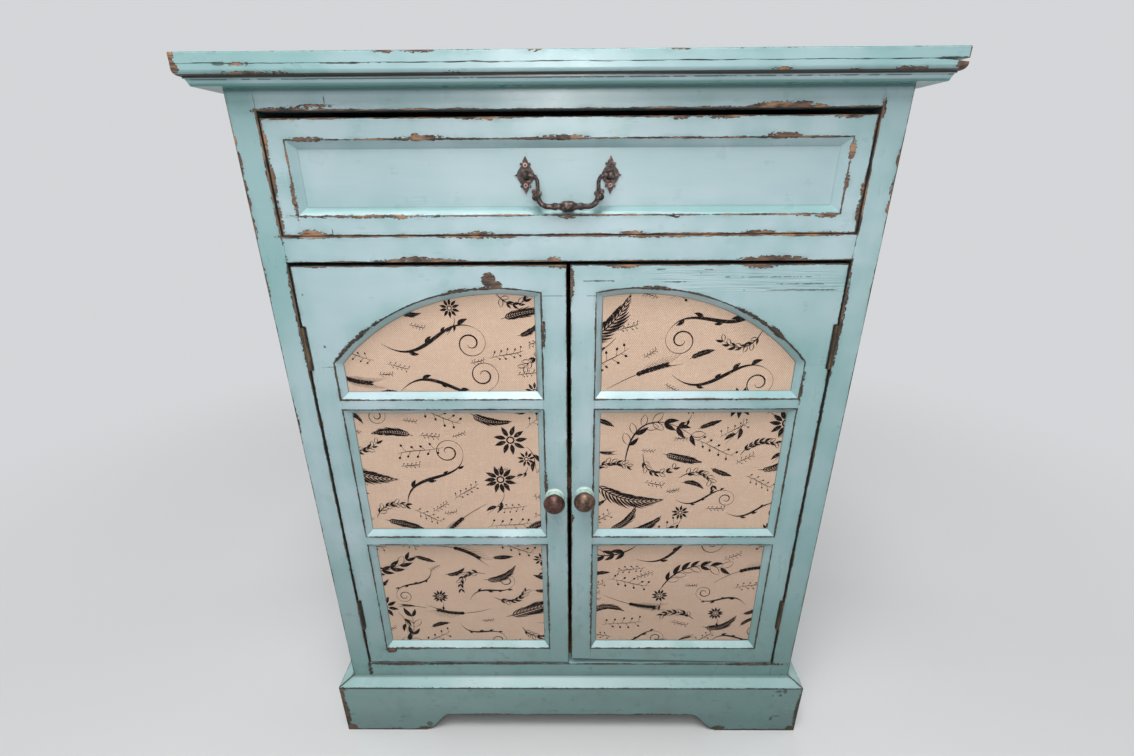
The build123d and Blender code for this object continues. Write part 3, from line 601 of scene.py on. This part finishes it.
def door_creases(shader):
    """Painted shade at the foot of the bevels round the cloth and on the edges in the gap, and the
    joints of the frame.
    """
    gate = shader.noise(24, shift=(1, 5, 3)).ramp(-0.1, 0.06)
    hinge_line = most(abs(shader.z - HINGE_JOINT), LIGHT_OUT - shader.side)
    lock_line = most(abs(shader.z - LOCK_JOINT), shader.side - LIGHT_IN)
    return [
        # painted shadow line at the foot of the bevels round the cloth
        (light_distance(shader) + BEVEL, 1.2, 0.6),
        (least(hinge_line, lock_line) + (1 - gate) * 0.8, 0.8, 0.55),
        gap_shade_line(shader, rectangle(shader.side, shader.z, DOOR_X, DOOR_Z)),
    ]


def drawer_outlines(shader):
    """Distances to the outline of the drawer front and to that of its recess; negative inside."""
    return [
        rectangle(shader.x, shader.z, width, height)
        for width, height in ((DRAWER_X, DRAWER_Z), (RECESS_X, RECESS_Z))
    ]


def drawer_arrises(shader):
    """Rim of the drawer front and of its recess."""
    rim, recess = drawer_outlines(shader)
    return [(corner(rim, shader.depth), 1, 1.5), (corner(recess, shader.depth), 0.7, 1.2)]


def drawer_creases(shader):
    """Faint painted shade at the foot of the recess bevels, and painted shade on the edges in the gap.
    """
    rim, recess = drawer_outlines(shader)
    return [(abs(recess + BEVEL), 1, 0.16), gap_shade_line(shader, rim)]


def cornice_arrises(shader):
    """Corners of the top board, and its upper edges."""
    side, ahead = shader.side - BOARD_HALF, shader.y - BOARD_FRONT
    return [
        (corner(side, ahead), 1.2, 3),
        (corner(least(abs(side), abs(ahead)), shader.z - TOP), 0.15, 1.6),
        (corner(shader.y - BACK, shader.z - TOP), 0.8, 3),
    ]


def cornice_creases(shader):
    """Crack under the top board, the brown line under the ledge (worn wood with painted shadow), the
    groove, painted shade in the hollow of the moulding, and the upper edge.
    """
    gate = shader.noise(26, 3, shift=(4, 2, 6)).ramp(-0.1, 0.1)
    jog = shader.noise(3, 2, 0.6, (10, 1, 1), (8, 1, 4)) * 3
    dots = shader.noise(5, 2, 0.6, (3, 1, 1), (2, 8, 4)).ramp(-0.06, 0.02)
    rim = least(abs(shader.side - BOARD_HALF), abs(shader.y - BOARD_FRONT))
    return [
        (abs(shader.z - CASE_TOP + jog) + (1 - gate) * 0.35, 0.68, 1, SEAM),
        # brown line under the ledge: worn wood, and painted shadow under the step
        (abs(shader.z - MOULDING_LEDGE) - 1, 0.5, 0.95, BROWN_LINE),
        (abs(shader.z - MOULDING_GROOVE) + (1 - dots) * 0.4, 0.7, 0.75),
        # painted shade in the hollow of the moulding
        (abs(shader.z - MOULDING_FOOT), 3, 0.8, COVE_SHADE),
        (most(abs(shader.z - TOP), rim), 0.9, 0.55),
    ]


def plinth_arrises(shader):
    """Corners, bevel, mitres, cut-out and foot of the plinth."""
    side, ahead = shader.side - PLINTH_HALF, shader.y - PLINTH_FACE
    below = abs(shader.z - shader.side.ramp(*CUTOUT_X, *CUTOUT_Z)) * 0.8
    bevel = corner(least(abs(ahead), abs(side)), shader.z - (PLINTH_EDGE + 0.3))
    mitre = most(abs(side + ahead) * 0.7, PLINTH_EDGE - shader.z)
    return [
        (corner(side, ahead), 1.8, 2.2),
        (bevel, 0.15, 0.6),
        (mitre, 1.1, 0.8),
        (corner(below, ahead), 0.9, 1.8),
        (corner(shader.z, ahead), 1.8, 2.5),
    ]


def plinth_creases(shader):
    """Line where the bevel meets the case, the line under the bevel, and darkening near the floor."""
    gate = shader.noise(50, shift=(1, 2, 6)).ramp(-0.04, 0.06)
    return [
        (abs(shader.z - PLINTH_TOP), 1, 0.5),
        (abs(shader.z - (PLINTH_EDGE - 1)) + (1 - gate) * 0.5, 2, 0.95),
        (most(shader.z, 0), 60, 0.2),
    ]


def dress(names, material, bevel=0.5):
    """Give CAD nodes a material and eased edges."""
    for name in names.split():
        piece = nodes[name]
        piece.data.materials.clear()
        piece.data.materials.append(material)
        if bevel:
            weld = piece.modifiers.new("weld", "WELD")
            weld.merge_threshold = 0.00001
            ease = piece.modifiers.new("ease", "BEVEL")
            ease.width = bevel * MM
            ease.segments = 2
            ease.limit_method = "ANGLE"
            ease.angle_limit = radians(32)
            ease.harden_normals = True


case_wear = (case_arrises, CASE_CHIPS, CASE_CRACKS, case_creases, FRONT)
door_wear = (door_arrises, DOOR_CHIPS, DOOR_CRACKS, door_creases, FRONT)
drawer_wear = (drawer_arrises, DRAWER_CHIPS, DRAWER_CRACKS, drawer_creases, FRONT)
cornice_wear = (cornice_arrises, CORNICE_CHIPS, CORNICE_CRACKS, cornice_creases, BOARD_FRONT)
plinth_wear = (plinth_arrises, PLINTH_CHIPS, PLINTH_CRACKS, plinth_creases, PLINTH_FACE)
case_h = painted("case_paint_across", "x", *case_wear)
case_v = painted("case_paint_upright", "z", *case_wear)
door_h = painted("door_paint_across", "x", *door_wear, DOOR_STRIPES)
door_v = painted("door_paint_upright", "z", *door_wear)
drawer_paint = painted("drawer_paint", "x", *drawer_wear)
cornice_paint = painted("cornice_paint", "x", *cornice_wear)
plinth_paint = painted("plinth_paint", "x", *plinth_wear)

dress("top_rail middle_rail bottom_rail", case_h)
dress("stile_left stile_right side_panel_left side_panel_right", case_v)
dress("top_board cornice_front cornice_left cornice_right", cornice_paint, 0.4)
dress("plinth_front plinth_left plinth_right", plinth_paint, 0.8)
dress("drawer_front", drawer_paint, 0.6)
for side in ("left", "right"):
    for part in ("top_rail", "upper_bar", "lower_bar", "bottom_rail"):
        dress(f"{side}_door_{part}", door_h)
    for part in ("hinge_stile", "lock_stile"):
        dress(f"{side}_door_{part}", door_v)


# ---------------- bare wood, board and metal


def bare_wood(name, grain, light, dark):
    """Unpainted wood with long grain, from two screen colours."""
    shader = Shader(name)
    rings = shader.noise(9, 3, 0.55, along(grain, 14))
    fibre = shader.noise(1.6, 2, 0.6, along(grain, 14))
    dark = srgb(*dark)
    color = shader.mix((rings + fibre * 0.4).ramp(-0.3, 0.3), dark, srgb(*light))
    color = shader.mix(shader.noise(90).ramp(0, 0.3) * 0.35, color, dark)
    return shader.coat(fibre * 0.12 + rings * 0.08, 0.7, Base_Color=color, Roughness=0.62 + fibre * 0.2)


def hardboard(name):
    """Smooth brown sheet with short fibres."""
    shader = Shader(name)
    fibre = shader.noise(1.8, 3, 0.7, (3, 1, 1))
    color = shader.mix(fibre.ramp(-0.25, 0.25), srgb(98, 68, 46), srgb(134, 98, 68))
    color = shader.mix(shader.noise(120).ramp(-0.1, 0.3) * 0.3, color, srgb(80, 56, 40))
    return shader.coat(fibre * 0.05, 0.6, Base_Color=color, Roughness=0.6)


def cast(shader, cloud, pits, color):
    """Finish a cast metal surface that is clouded and pitted."""
    return shader.coat(
        pits * 0.18 + cloud * 0.2, 0.9, Base_Color=color, Metallic=0.45,
        Roughness=0.4 + cloud * 0.3 + pits * 0.25,
    )


def bronze(name, deep, patina, rubbed, rub, stretch=(1, 1, 1)):
    """Dark cast metal with a patina, rubbed brighter in places, from three screen colours."""
    shader = Shader(name)
    cloud = shader.noise(7, 3, 0.6, stretch)
    pits = shader.noise(1, 3, 0.6)
    worn = shader.noise(3.5, 2, 0.6, stretch, (3, 9, 1)) + pits * 0.3
    color = shader.mix((cloud + pits * 0.4).ramp(-0.14, 0.16), srgb(*deep), srgb(*patina))
    color = shader.mix(worn.ramp(0, 0.22) * rub, color, srgb(*rubbed))
    return cast(shader, cloud, pits, color)


def screw_bronze():
    """Pan heads with a bright ring round a dark drive recess, duller on the upper right quarter."""
    shader = Shader("screw_bronze")
    low, high = span("pull_screws", "z")
    middle = centre_of("pull_screws", "z")
    x = span("pull_screws", "x")[1] - SCREW_R
    radius = corner(shader.side - x, abs(shader.z - middle) - ((high - low) / 2 - SCREW_R))
    dull = shader.x.ramp(-5, 5) * (shader.z - middle).ramp(-2, 2)
    ring = radius.ramp(0.8, 1.3) * (1 - dull * 0.85)
    color = shader.mix(ring * 0.85, srgb(40, 31, 30), srgb(212, 170, 158))
    color = shader.mix(radius.ramp(0.9, 0.6), color, srgb(28, 22, 22))
    return cast(shader, shader.noise(7, 3, 0.6), shader.noise(1, 3, 0.6), color)


def plain(name, color, shade, pattern, rough, relief, **surface):
    """One colour that a fine pattern darkens by a shade, roughens and raises."""
    shader = Shader(name)
    mark = shader.noise(*pattern)
    tint = shader.mix(mark.ramp(-0.3, 0.3), (*(shade * part for part in color[:3]), 1), color)
    depth, strength = relief
    roughness = rough[0] + mark * rough[1]
    return shader.coat(mark * depth, strength, Base_Color=tint, Roughness=roughness, **surface)


def cream_paint():
    """Thick pale paint on the turned knob bases, dirty in the grooves."""
    shader = Shader("cream_paint")
    cloud = shader.noise(6, 3, 0.6)
    color = shader.mix(cloud.ramp(-0.12, 0.12), srgb(158, 194, 192), srgb(196, 210, 196))
    grime = shader.noise(2.5, 3, 0.6, shift=(2, 4, 4)).ramp(0.06, 0.2)
    color = shader.mix(grime * 0.35, color, PAINT_DEEP)
    return shader.coat(cloud * 0.12, 0.8, Base_Color=color, Roughness=0.3 + cloud * 0.2)


raw_x = bare_wood("raw_wood_across", "x", (150, 112, 76), (104, 72, 48))
raw_y = bare_wood("raw_wood_deep", "y", (150, 112, 76), (104, 72, 48))
raw_z = bare_wood("raw_wood_upright", "z", (146, 108, 72), (100, 70, 46))
board = hardboard("brown_board")
dark_bronze = bronze("dark_bronze", (40, 34, 32), (71, 60, 56), (150, 122, 112), 0.7)
screw_metal = screw_bronze()
knob_metal = {
    "left": bronze("red_bronze", (50, 34, 31), (96, 63, 56), (140, 100, 86), 0.35),
    "right": bronze("gold_bronze", (60, 45, 38), (106, 81, 68), (176, 146, 118), 0.35),
}
hinge_metal = bronze("hinge_metal", (38, 32, 27), (78, 63, 49), (146, 120, 82), 0.5, (1, 1, 9))
base_paint = cream_paint()
plate_steel = plain(
    "plate_steel", srgb(176, 178, 180), 0.8, (0.8, 2, 0.6, (12, 1, 1)), (0.35, 0.2), (0.02, 0.5),
    Metallic=1,
)
catch_plastic = plain("catch_plastic", srgb(70, 48, 34), 0.85, (0.7,), (0.5, 0.1), (0.03, 0.6))

dress("cabinet_floor shelf drawer_back", raw_x)
dress("side_cleats drawer_runners drawer_kickers drawer_side_left drawer_side_right", raw_y)
dress("plinth_blocks", raw_z, 1)
dress("back_panel drawer_base", board, 0)
dress("case_hinge_leaves hinge_pins", hinge_metal, 0)
dress("pull_plate_left pull_plate_right", dark_bronze, 0.35)
dress("bail", dark_bronze, 0)
dress("pull_screws", screw_metal, 0)
dress("magnetic_catch", catch_plastic)
for side in ("left", "right"):
    for part, material, bevel in (
        ("panel_strips", raw_z, 0.5), ("backing", board, 0), ("hinge_leaves", hinge_metal, 0),
        ("knob", knob_metal[side], 0), ("knob_base", base_paint, 0), ("catch_plate", plate_steel, 0.2),
    ):
        dress(f"{side}_door_{part}", material, bevel)


# ---------------- linen and ink


def weave(shader):
    """Height of a twill weave, about 0 to 1: slanting ribs crossed by finer threads."""
    slub = shader.noise(6, 3, 0.6) * 4
    ribs = shader.math("SINE", (shader.x + shader.z * 0.8) * (2 * pi / 2.3) + slub)
    threads = shader.math("SINE", (shader.x - shader.z * 1.3) * (2 * pi / 1.3) - slub)
    return ribs * 0.32 + threads * 0.18 + 0.5


def linen():
    """Tan twill with slubs, with painted shade making it darker towards the floor and to the right."""
    shader = Shader("linen")
    threads = weave(shader)
    slubs = shader.noise(1.3, 2, 0.6, (7, 1, 1)) + shader.noise(1.3, 2, 0.6, (1, 1, 7), (3, 3, 3))
    # painted shade: darker low down, more so on the right
    painted_low_shade = shader.z.ramp(430, 140) * (shader.x.ramp(-120, 120) * 0.15 + 0.2)
    color = shader.layers(
        shader.mix((threads + slubs * 0.3).ramp(0, 0.9), srgb(189, 156, 133), srgb(231, 203, 180)),
        (slubs.ramp(0.1, 0.45) * 0.35, srgb(232, 210, 190)),
        (shader.noise(50, 3).ramp(-0.2, 0.3) * 0.14, srgb(178, 148, 128)),
        (painted_low_shade, srgb(158, 130, 112)),
    )
    return shader.coat(
        threads * 0.3 + slubs * 0.15, 0.8, Base_Color=color, Roughness=0.85, Sheen_Weight=0.12
    )


def ink():
    """Black printing ink that breaks up on the threads."""
    shader = Shader("ink")
    threads = weave(shader)
    missed = (threads * 0.5 + shader.noise(2.2, 2, 0.6) * 1.5).ramp(0.52, 0.68)
    color = shader.mix(missed, srgb(24, 18, 18), srgb(170, 140, 122))
    return shader.coat(threads * 0.2, 0.8, Base_Color=color, Roughness=0.8, Specular_IOR_Level=0.2)


linen_material = linen()
ink_material = ink()


# ---------------- screw and nail heads


def put_in_scene(name, data):
    """An object of the scene from its mesh, lamp or lens."""
    made = bpy.data.objects.new(name, data)
    bpy.context.scene.collection.objects.link(made)
    return made


def shape(name, faces_of, material):
    """An object whose mesh a function fills in."""
    mesh = bpy.data.meshes.new(name)
    work = bmesh.new()
    faces_of(work)
    work.to_mesh(mesh)
    work.free()
    mesh.materials.append(material)
    return put_in_scene(name, mesh)


def build(name, faces_of, material, body):
    """A shape that rides on a body."""
    piece = shape(name, faces_of, material)
    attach(piece, body)
    return piece


def head(work, centre, normal, radius, proud, crossed=True):
    """A low domed screw or nail head on a face, in mm."""
    turn = Vector(normal).to_track_quat("Z", "Y").to_matrix()
    count = 40

    def ring(share, height, star=False):
        made = []
        for step in range(count):
            angle = 2 * pi * step / count
            reach = radius * share
            if star:
                off = abs((angle + pi / 4) % (pi / 2) - pi / 4)
                reach *= min(0.6 / cos(off), 0.15 / max(sin(off), 1e-6))
            spot = Vector((reach * cos(angle), reach * sin(angle), height))
            made.append(work.verts.new((Vector(centre) + turn @ spot) * MM))
        return made

    rings = [ring(1, 0), ring(1, proud * 0.4), ring(0.86, proud * 0.9), ring(0.7, proud)]
    if crossed:
        rings += [ring(1, proud, True), ring(0.85, proud * 0.15, True)]
    for lower, upper in zip(rings, rings[1:]):
        for k in range(count):
            after = (k + 1) % count
            work.faces.new((lower[k], lower[after], upper[after], upper[k]))
    work.faces.new(rings[-1])


def case_heads(work):
    """Screws of the case leaves, and the nails round the edge and down the middle of the back panel."""
    for hand in (1, -1):
        for z in LEAF_SCREWS:
            head(work, (hand * CASE_LEAF_X, LEAF_Y, z), (-hand, 0, 0), LEAF_SCREW_R, 0.2)
        for step in range(9):
            head(work, (hand * 311, BACK, 76 + 100 * step), (0, 1, 0), NAIL_R, 0.5, False)
    for x in (-200, -70, 70, 200):
        for z in (112, 420, 878):
            head(work, (x, BACK, z), (0, 1, 0), NAIL_R, 0.5, False)


def door_heads(work, side, hand):
    """Screws of the door leaves, the knob and the catch plate."""
    for z in LEAF_SCREWS:
        head(work, (hand * DOOR_LEAF_X, LEAF_Y, z), (hand, 0, 0), LEAF_SCREW_R, 0.2)
    knob, plate = f"{side}_door_knob", f"{side}_door_catch_plate"
    plate_back = span(plate, "y")[1]
    head(work, (centre_of(knob, "x"), RAIL_BACK, centre_of(knob, "z")), (0, 1, 0), 2.6, 0.9)
    head(work, (centre_of(plate, "x"), plate_back, centre_of(plate, "z")), (0, 1, 0), 2.2, 0.2)


build("case_heads", case_heads, hinge_metal, "case")
for side, hand in (("left", -1), ("right", 1)):
    build(
        f"{side}_door_heads", lambda work: door_heads(work, side, hand), hinge_metal,
        f"{side}_door",
    )


# ---------------- the print


def polar(start, angle, reach):
    """A point some way off from another, in a direction."""
    return start[0] + reach * cos(angle), start[1] + reach * sin(angle)


class Print:
    """Ink drawn on the plane of a panel, kept inside its edges. Points are (x, z) in mm."""

    def __init__(self, work, low, high, y):
        self.work = work
        self.low = low
        self.high = high
        self.y = y
        self.layer = 0

    def face(self, points):
        """Ink between points, a little above the layers before it."""
        low, high = self.low, self.high
        if all(low[0] < x < high[0] and low[1] < z < high[1] for x, z in points):
            lift = self.y - 0.002 * (self.layer % 40)
            self.work.faces.new([self.work.verts.new((x * MM, lift * MM, z * MM)) for x, z in points])

    def stroke(self, points, widths):
        """A pen stroke along points, as wide as given at each."""
        edges = []
        for index, (x, z) in enumerate(points):
            ahead = points[min(index + 1, len(points) - 1)]
            behind = points[max(index - 1, 0)]
            course = Vector((ahead[0] - behind[0], ahead[1] - behind[1]))
            if course.length < 1e-9:
                course = Vector((1, 0))
            course.normalize()
            half = widths[index] / 2
            off_x, off_z = course.y * half, course.x * half
            edges.append(((x - off_x, z + off_z), (x + off_x, z - off_z)))
        self.layer += 1
        for (a, b), (c, d) in zip(edges, edges[1:]):
            self.face([a, b, d, c])

    def blade(self, root, angle, length, width, curl=0):
        """A leaf from its root, pointed at both ends and bent by curl."""
        steps = 7
        upper, lower = [], []
        for step in range(steps + 1):
            t = step / steps
            turn = angle + curl * t
            x, z = polar(root, turn, length * t)
            half = width / 2 * sin(pi * t ** 0.8) + 0.05
            upper.append((x - sin(turn) * half, z + cos(turn) * half))
            lower.append((x + sin(turn) * half, z - cos(turn) * half))
        self.layer += 1
        for index in range(steps):
            self.face([upper[index], upper[index + 1], lower[index + 1], lower[index]])

    def stem(self, controls, steps, place, *widths):
        """A swelling stroke along a cubic curve of unit size; gives its points."""
        spine = turned(bezier(controls, steps), *place)
        self.stroke(spine, swell(len(spine), *widths))
        return spine


def bezier(points, steps):
    """Points along a cubic curve."""
    found = []
    for step in range(steps + 1):
        t = step / steps
        s = 1 - t
        weights = (s**3, 3 * s * s * t, 3 * s * t * t, t**3)
        found.append(tuple(sum(w * p[axis] for w, p in zip(weights, points)) for axis in (0, 1)))
    return found


def turned(points, centre, angle, size):
    """Points of unit size turned, scaled and moved."""
    c, s = cos(angle) * size, sin(angle) * size
    return [(centre[0] + x * c - z * s, centre[1] + x * s + z * c) for x, z in points]


def swell(count, thin, thick, lean=0.5):
    """Widths of a pen stroke that is thickest a share of the way along."""
    widths = []
    for index in range(count):
        t = index / (count - 1)
        fullness = sin(pi * t ** (log(0.5) / log(lean)))
        widths.append(thin + (thick - thin) * max(fullness, 0) ** 1.5)
    return widths


def heading(points, index):
    """Direction of a polyline at a point."""
    a = points[max(index - 1, 0)]
    b = points[min(index + 1, len(points) - 1)]
    return atan2(b[1] - a[1], b[0] - a[0])


def fern(panel, rng, *place):
    """A bent stem with paired narrow leaflets."""
    size = place[-1]
    bend = rng.uniform(-0.25, 0.25)
    curve = [(-0.5, 0), (-0.2, bend), (0.15, bend), (0.5, -0.3 * bend)]
    spine = panel.stem(curve, 36, place, 0.35, 0.018 * size + 0.25, 0.3)
    for index in range(4, 36, 2):
        t = index / 36
        long = size * 0.26 * sin(pi * (0.12 + 0.86 * t)) * rng.uniform(0.8, 1.1)
        direction = heading(spine, index)
        for side in (1, -1):
            lean = direction + side * (0.95 - 0.45 * t)
            panel.blade(spine[index], lean, long, long * 0.1 + 0.5, -side * 0.35)


def laurel(panel, rng, *place):
    """A branch with fuller leaves, some only outlined."""
    size = place[-1]
    bend = rng.uniform(0.1, 0.3) * rng.choice((1, -1))
    curve = [(-0.5, -bend), (-0.2, bend), (0.2, bend), (0.5, -bend)]
    spine = panel.stem(curve, 30, place, 0.4, 0.02 * size + 0.3, 0.25)
    for index in range(5, 30, 4):
        direction = heading(spine, index)
        for side in (1, -1):
            long = size * rng.uniform(0.17, 0.22)
            lean = direction + side * rng.uniform(0.6, 0.85)
            if rng.random() < 0.6:
                panel.blade(spine[index], lean, long, long * 0.34, -side * 0.3)
            else:
                for bow in (0.32, -0.32):
                    leaf = [(0, 0), (0.3, bow), (0.7, bow), (1, 0)]
                    panel.stem(leaf, 12, (spine[index], lean, long), 0.3, 0.9)


def tendril(panel, rng, *place):
    """A long swash that ends in a coil, with buds along it."""
    size = place[-1]
    hand = rng.choice((1, -1))
    curve = [(-0.62, -0.12 * hand), (-0.3, 0.3 * hand), (0.05, -0.3 * hand), (0.32, 0.02 * hand)]
    sweep = bezier(curve, 26)
    turns, steps = 1.6, 34
    radius = 0.16
    start = heading(sweep, len(sweep) - 1) - hand * pi / 2
    middle = polar(sweep[-1], start, -radius)
    coil = []
    for step in range(1, steps + 1):
        t = step / steps
        coil.append(polar(middle, start + hand * turns * 2 * pi * t, radius * (1 - 0.82 * t)))
    line = turned(sweep + coil, *place)
    widths = swell(len(sweep), 0.3, 0.034 * size + 0.3, 0.45)
    widths += swell(len(coil), 0.45, 0.012 * size + 0.5, 0.6)
    panel.stroke(line, widths)
    for index in (6, 11, 16, 21):
        direction = heading(line, index)
        side = rng.choice((1, -1))
        long = size * rng.uniform(0.07, 0.12)
        panel.blade(line[index], direction + side * 0.9, long, long * 0.4, -side * 0.5)


def daisy(panel, rng, centre, angle, size):
    """A flower head with a ring of petals round a dark eye, and a bent stalk."""
    petals = rng.choice((9, 10, 11))
    for petal in range(petals):
        lean = angle + 2 * pi * petal / petals
        root = polar(centre, lean, 0.1 * size)
        panel.blade(root, lean, size * 0.26, size * 0.1, rng.uniform(-0.2, 0.2))
    ring = [polar((0, 0), step * pi / 6, 0.075) for step in range(13)]
    panel.stroke(turned(ring, centre, 0, size), [0.035 * size] * len(ring))
    curve = [(0.1, -0.35), (0.12, -0.6), (-0.05, -0.7), (-0.25, -0.95)]
    stalk = panel.stem(curve, 16, (centre, angle * 0.3, size), 0.35, 0.8, 0.4)
    for index, side in ((6, 1), (10, -1)):
        lean = heading(stalk, index) + side * 0.7
        panel.blade(stalk[index], lean, size * 0.28, size * 0.09, -side * 0.4)


def wheat(panel, rng, *place):
    """An ear of grain with awns on a thin stalk."""
    size = place[-1]
    bend = rng.uniform(-0.15, 0.15)
    spine = panel.stem([(-0.55, 0), (-0.2, bend), (0.1, bend), (0.4, 0)], 30, place, 0.3, 0.8, 0.4)
    for index in range(15, 31, 2):
        direction = heading(spine, index)
        root = spine[index]
        for side in (1, -1):
            panel.blade(root, direction + side * 0.5, size * 0.1, size * 0.042, -side * 0.3)
            awn = turned([(0.08, 0), (0.2, 0.01), (0.3, 0.03)], root, direction + side * 0.28, size)
            panel.stroke(awn, [0.4, 0.3, 0.22])


def spray(panel, rng, *place):
    """A row of short stems with a seed at the end of each."""
    size = place[-1]
    base = panel.stem([(-0.5, 0), (-0.2, 0.06), (0.2, -0.06), (0.5, 0)], 20, place, 0.3, 0.9, 0.6)
    for index in range(2, 20, 2):
        side = 1 if index % 4 else -1
        lean = heading(base, index) + side * rng.uniform(0.8, 1.2)
        tip = polar(base[index], lean, size * rng.uniform(0.08, 0.15))
        panel.stroke([base[index], tip], [0.5, 0.4])
        panel.blade(tip, lean, size * 0.07, size * 0.05)


# A motif, its size in mm and how many there are
MOTIFS = [
    (tendril, 118, 3), (fern, 96, 2), (laurel, 92, 3), (daisy, 58, 3), (wheat, 78, 4),
    (tendril, 74, 5), (fern, 52, 6), (spray, 58, 7), (laurel, 46, 7), (spray, 40, 9),
    (daisy, 32, 7), (fern, 30, 14), (spray, 26, 18), (wheat, 34, 12), (spray, 18, 30),
]
TRIES = 260
MARGIN = 8
SPACING = 1.5


def scatter(panel, rng):
    """Lay the motifs out large to small, so that none touch."""
    taken = []
    low, high = panel.low, panel.high
    for motif, size, count in MOTIFS:
        placed = 0
        room = 0.17 * size
        for _ in range(TRIES):
            if placed == count:
                break
            x = rng.uniform(low[0] + MARGIN, high[0] - MARGIN)
            z = rng.uniform(low[1] + MARGIN, high[1] - MARGIN)
            angle = rng.uniform(-0.5, 0.75)
            reach = 0.36 * size
            if motif is daisy:
                angle = rng.uniform(-0.6, 0.6)
                reach = 0.5 * size
            spots = [polar((x, z), angle, step * reach) for step in (-1, 0, 1)]
            near = (dist(spot, other) < room + far + SPACING for spot in spots for other, far in taken)
            if any(near):
                continue
            taken += [(spot, room) for spot in spots]
            motif(panel, rng, (x, z), angle if rng.random() < 0.8 else angle + pi, size)
            placed += 1


def stretched_linen(side, seed):
    """The cloth of one door and the print on it."""
    node = f"{side}_door_fabric"
    low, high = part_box(node)
    y = (low.y + high.y) / 2

    def cloth(work):
        columns, rows = 26, 55
        grid = []
        for row in range(rows + 1):
            z = low.z + (high.z - low.z) * row / rows
            line = []
            for column in range(columns + 1):
                x = low.x + (high.x - low.x) * column / columns
                ripple = 0.12 * sin(x * 61 + z * 23) * sin(z * 47 - x * 13)
                line.append(work.verts.new((x, y + ripple * MM, z)))
            grid.append(line)
        for upper, lower in zip(grid[1:], grid):
            for a, b, c, d in zip(lower, lower[1:], upper[1:], upper):
                work.faces.new((a, b, c, d))

    cloth_piece = build(f"{side}_door_linen", cloth, linen_material, f"{side}_door")
    for face in cloth_piece.data.polygons:
        face.use_smooth = True
    thick = cloth_piece.modifiers.new("thick", "SOLIDIFY")
    thick.thickness = 0.4 * MM
    thick.offset = 0
    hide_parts(node)

    def draw(work):
        panel = Print(work, (low.x / MM, low.z / MM), (high.x / MM, high.z / MM), y / MM - 0.36)
        scatter(panel, random.Random(seed))

    print_piece = build(f"{side}_door_print", draw, ink_material, f"{side}_door")


stretched_linen("left", 11)
stretched_linen("right", 29)


# ---------------- floor, light and camera

FLOOR_RADIUS = 30
PHOTO_WIDTH = 1134
FOCAL_PIXELS = 513.4
SENSOR = 36
EYE = (2.34, -699.84, 797.3)
AIM = (-0.471, 21.906, -0.346)


def pale_floor():
    """Pale floor that fades into the surround with distance."""
    shader = Shader("pale_floor")
    direct, mirrored = shader.rays()
    shader.fill(shader.surface, Base_Color=shader.mix(direct, FLOOR_BOUNCE, FLOOR_SEEN), Roughness=0.6)
    away = shader.vector("LENGTH", shader.p).ramp(550, 1900)
    glow = shader.glow("ShaderNodeEmission", SURROUND, 1)
    shader.blend(most(direct, mirrored) * away, shader.reflected, glow)

    def disc(work):
        bmesh.ops.create_circle(work, cap_ends=True, segments=64, radius=FLOOR_RADIUS)

    floor = shape("floor", disc, shader.material)


def surround():
    """Dim white light from all round, seen and mirrored as a pale wall."""
    world = bpy.data.worlds.new("surround")
    graph = Graph(world, "ShaderNodeOutputWorld")
    soft = graph.glow("ShaderNodeBackground", WHITE, 0.08)
    pale = graph.glow("ShaderNodeBackground", SURROUND, 1)
    graph.blend(most(*graph.rays()), soft, pale)
    bpy.context.scene.world = world


def area_light(name, place, target, size, watts, glossy=True, diffuse=True):
    """Soft rectangular lamp aimed at a point, which no camera sees."""
    lamp = bpy.data.lights.new(name, "AREA")
    lamp.shape = "RECTANGLE"
    lamp.size, lamp.size_y = size
    lamp.energy = watts
    holder = put_in_scene(name, lamp)
    holder.location = place
    holder.rotation_euler = (Vector(target) - Vector(place)).to_track_quat("-Z", "Y").to_euler()
    holder.visible_camera = False
    holder.visible_glossy = glossy
    holder.visible_diffuse = diffuse


def camera():
    """Camera at the photograph's place, worked out from the edges of the case."""
    yaw, pitch, roll = (radians(angle) for angle in AIM)
    forward = Vector((sin(yaw) * cos(pitch), cos(yaw) * cos(pitch), -sin(pitch)))
    level = Vector((cos(yaw), -sin(yaw), 0))
    up = level.cross(forward)
    right = level * cos(roll) + up * sin(roll)
    top = -level * sin(roll) + up * cos(roll)
    lens = bpy.data.cameras.new("camera")
    lens.sensor_width = SENSOR
    lens.lens = SENSOR * FOCAL_PIXELS / PHOTO_WIDTH
    lens.clip_start = 0.01
    eye = put_in_scene("camera", lens)
    turn = Matrix((right, top, -forward)).transposed().to_4x4()
    eye.matrix_world = Matrix.Translation(Vector(EYE) * MM) @ turn
    bpy.context.scene.camera = eye


pale_floor()
surround()
area_light("high", (-0.12, -0.85, 3), (0, -0.2, 0.5), (1.2, 0.8), 46)
area_light("near", (-0.1, -0.85, 1.55), (0, -0.15, 0.6), (0.8, 0.5), 6.8, glossy=False)
area_light("fill", (-0.05, -1, 0.85), (0, 0, 0.76), (0.9, 0.6), 2.4, glossy=False)
area_light("front", (0.01, -2.75, 1.5), (0, 0, 0.8), (0.6, 0.4), 9, glossy=False)
area_light("glow", (-0.02, -2.75, 1.25), (0, 0, 0.9), (0.42, 0.5), 17, diffuse=False)
area_light("rear", (0.3, 2.2, 2.2), (0, 0, 0.5), (1.6, 1), 16)
area_light("left", (-2.4, 0.3, 1.6), (0, 0, 0.5), (1.2, 1.2), 17)
area_light("right", (2.4, 0.3, 1.6), (0, 0, 0.5), (1.2, 1.2), 17)
camera()
bpy.context.scene.view_settings.view_transform = "Standard"
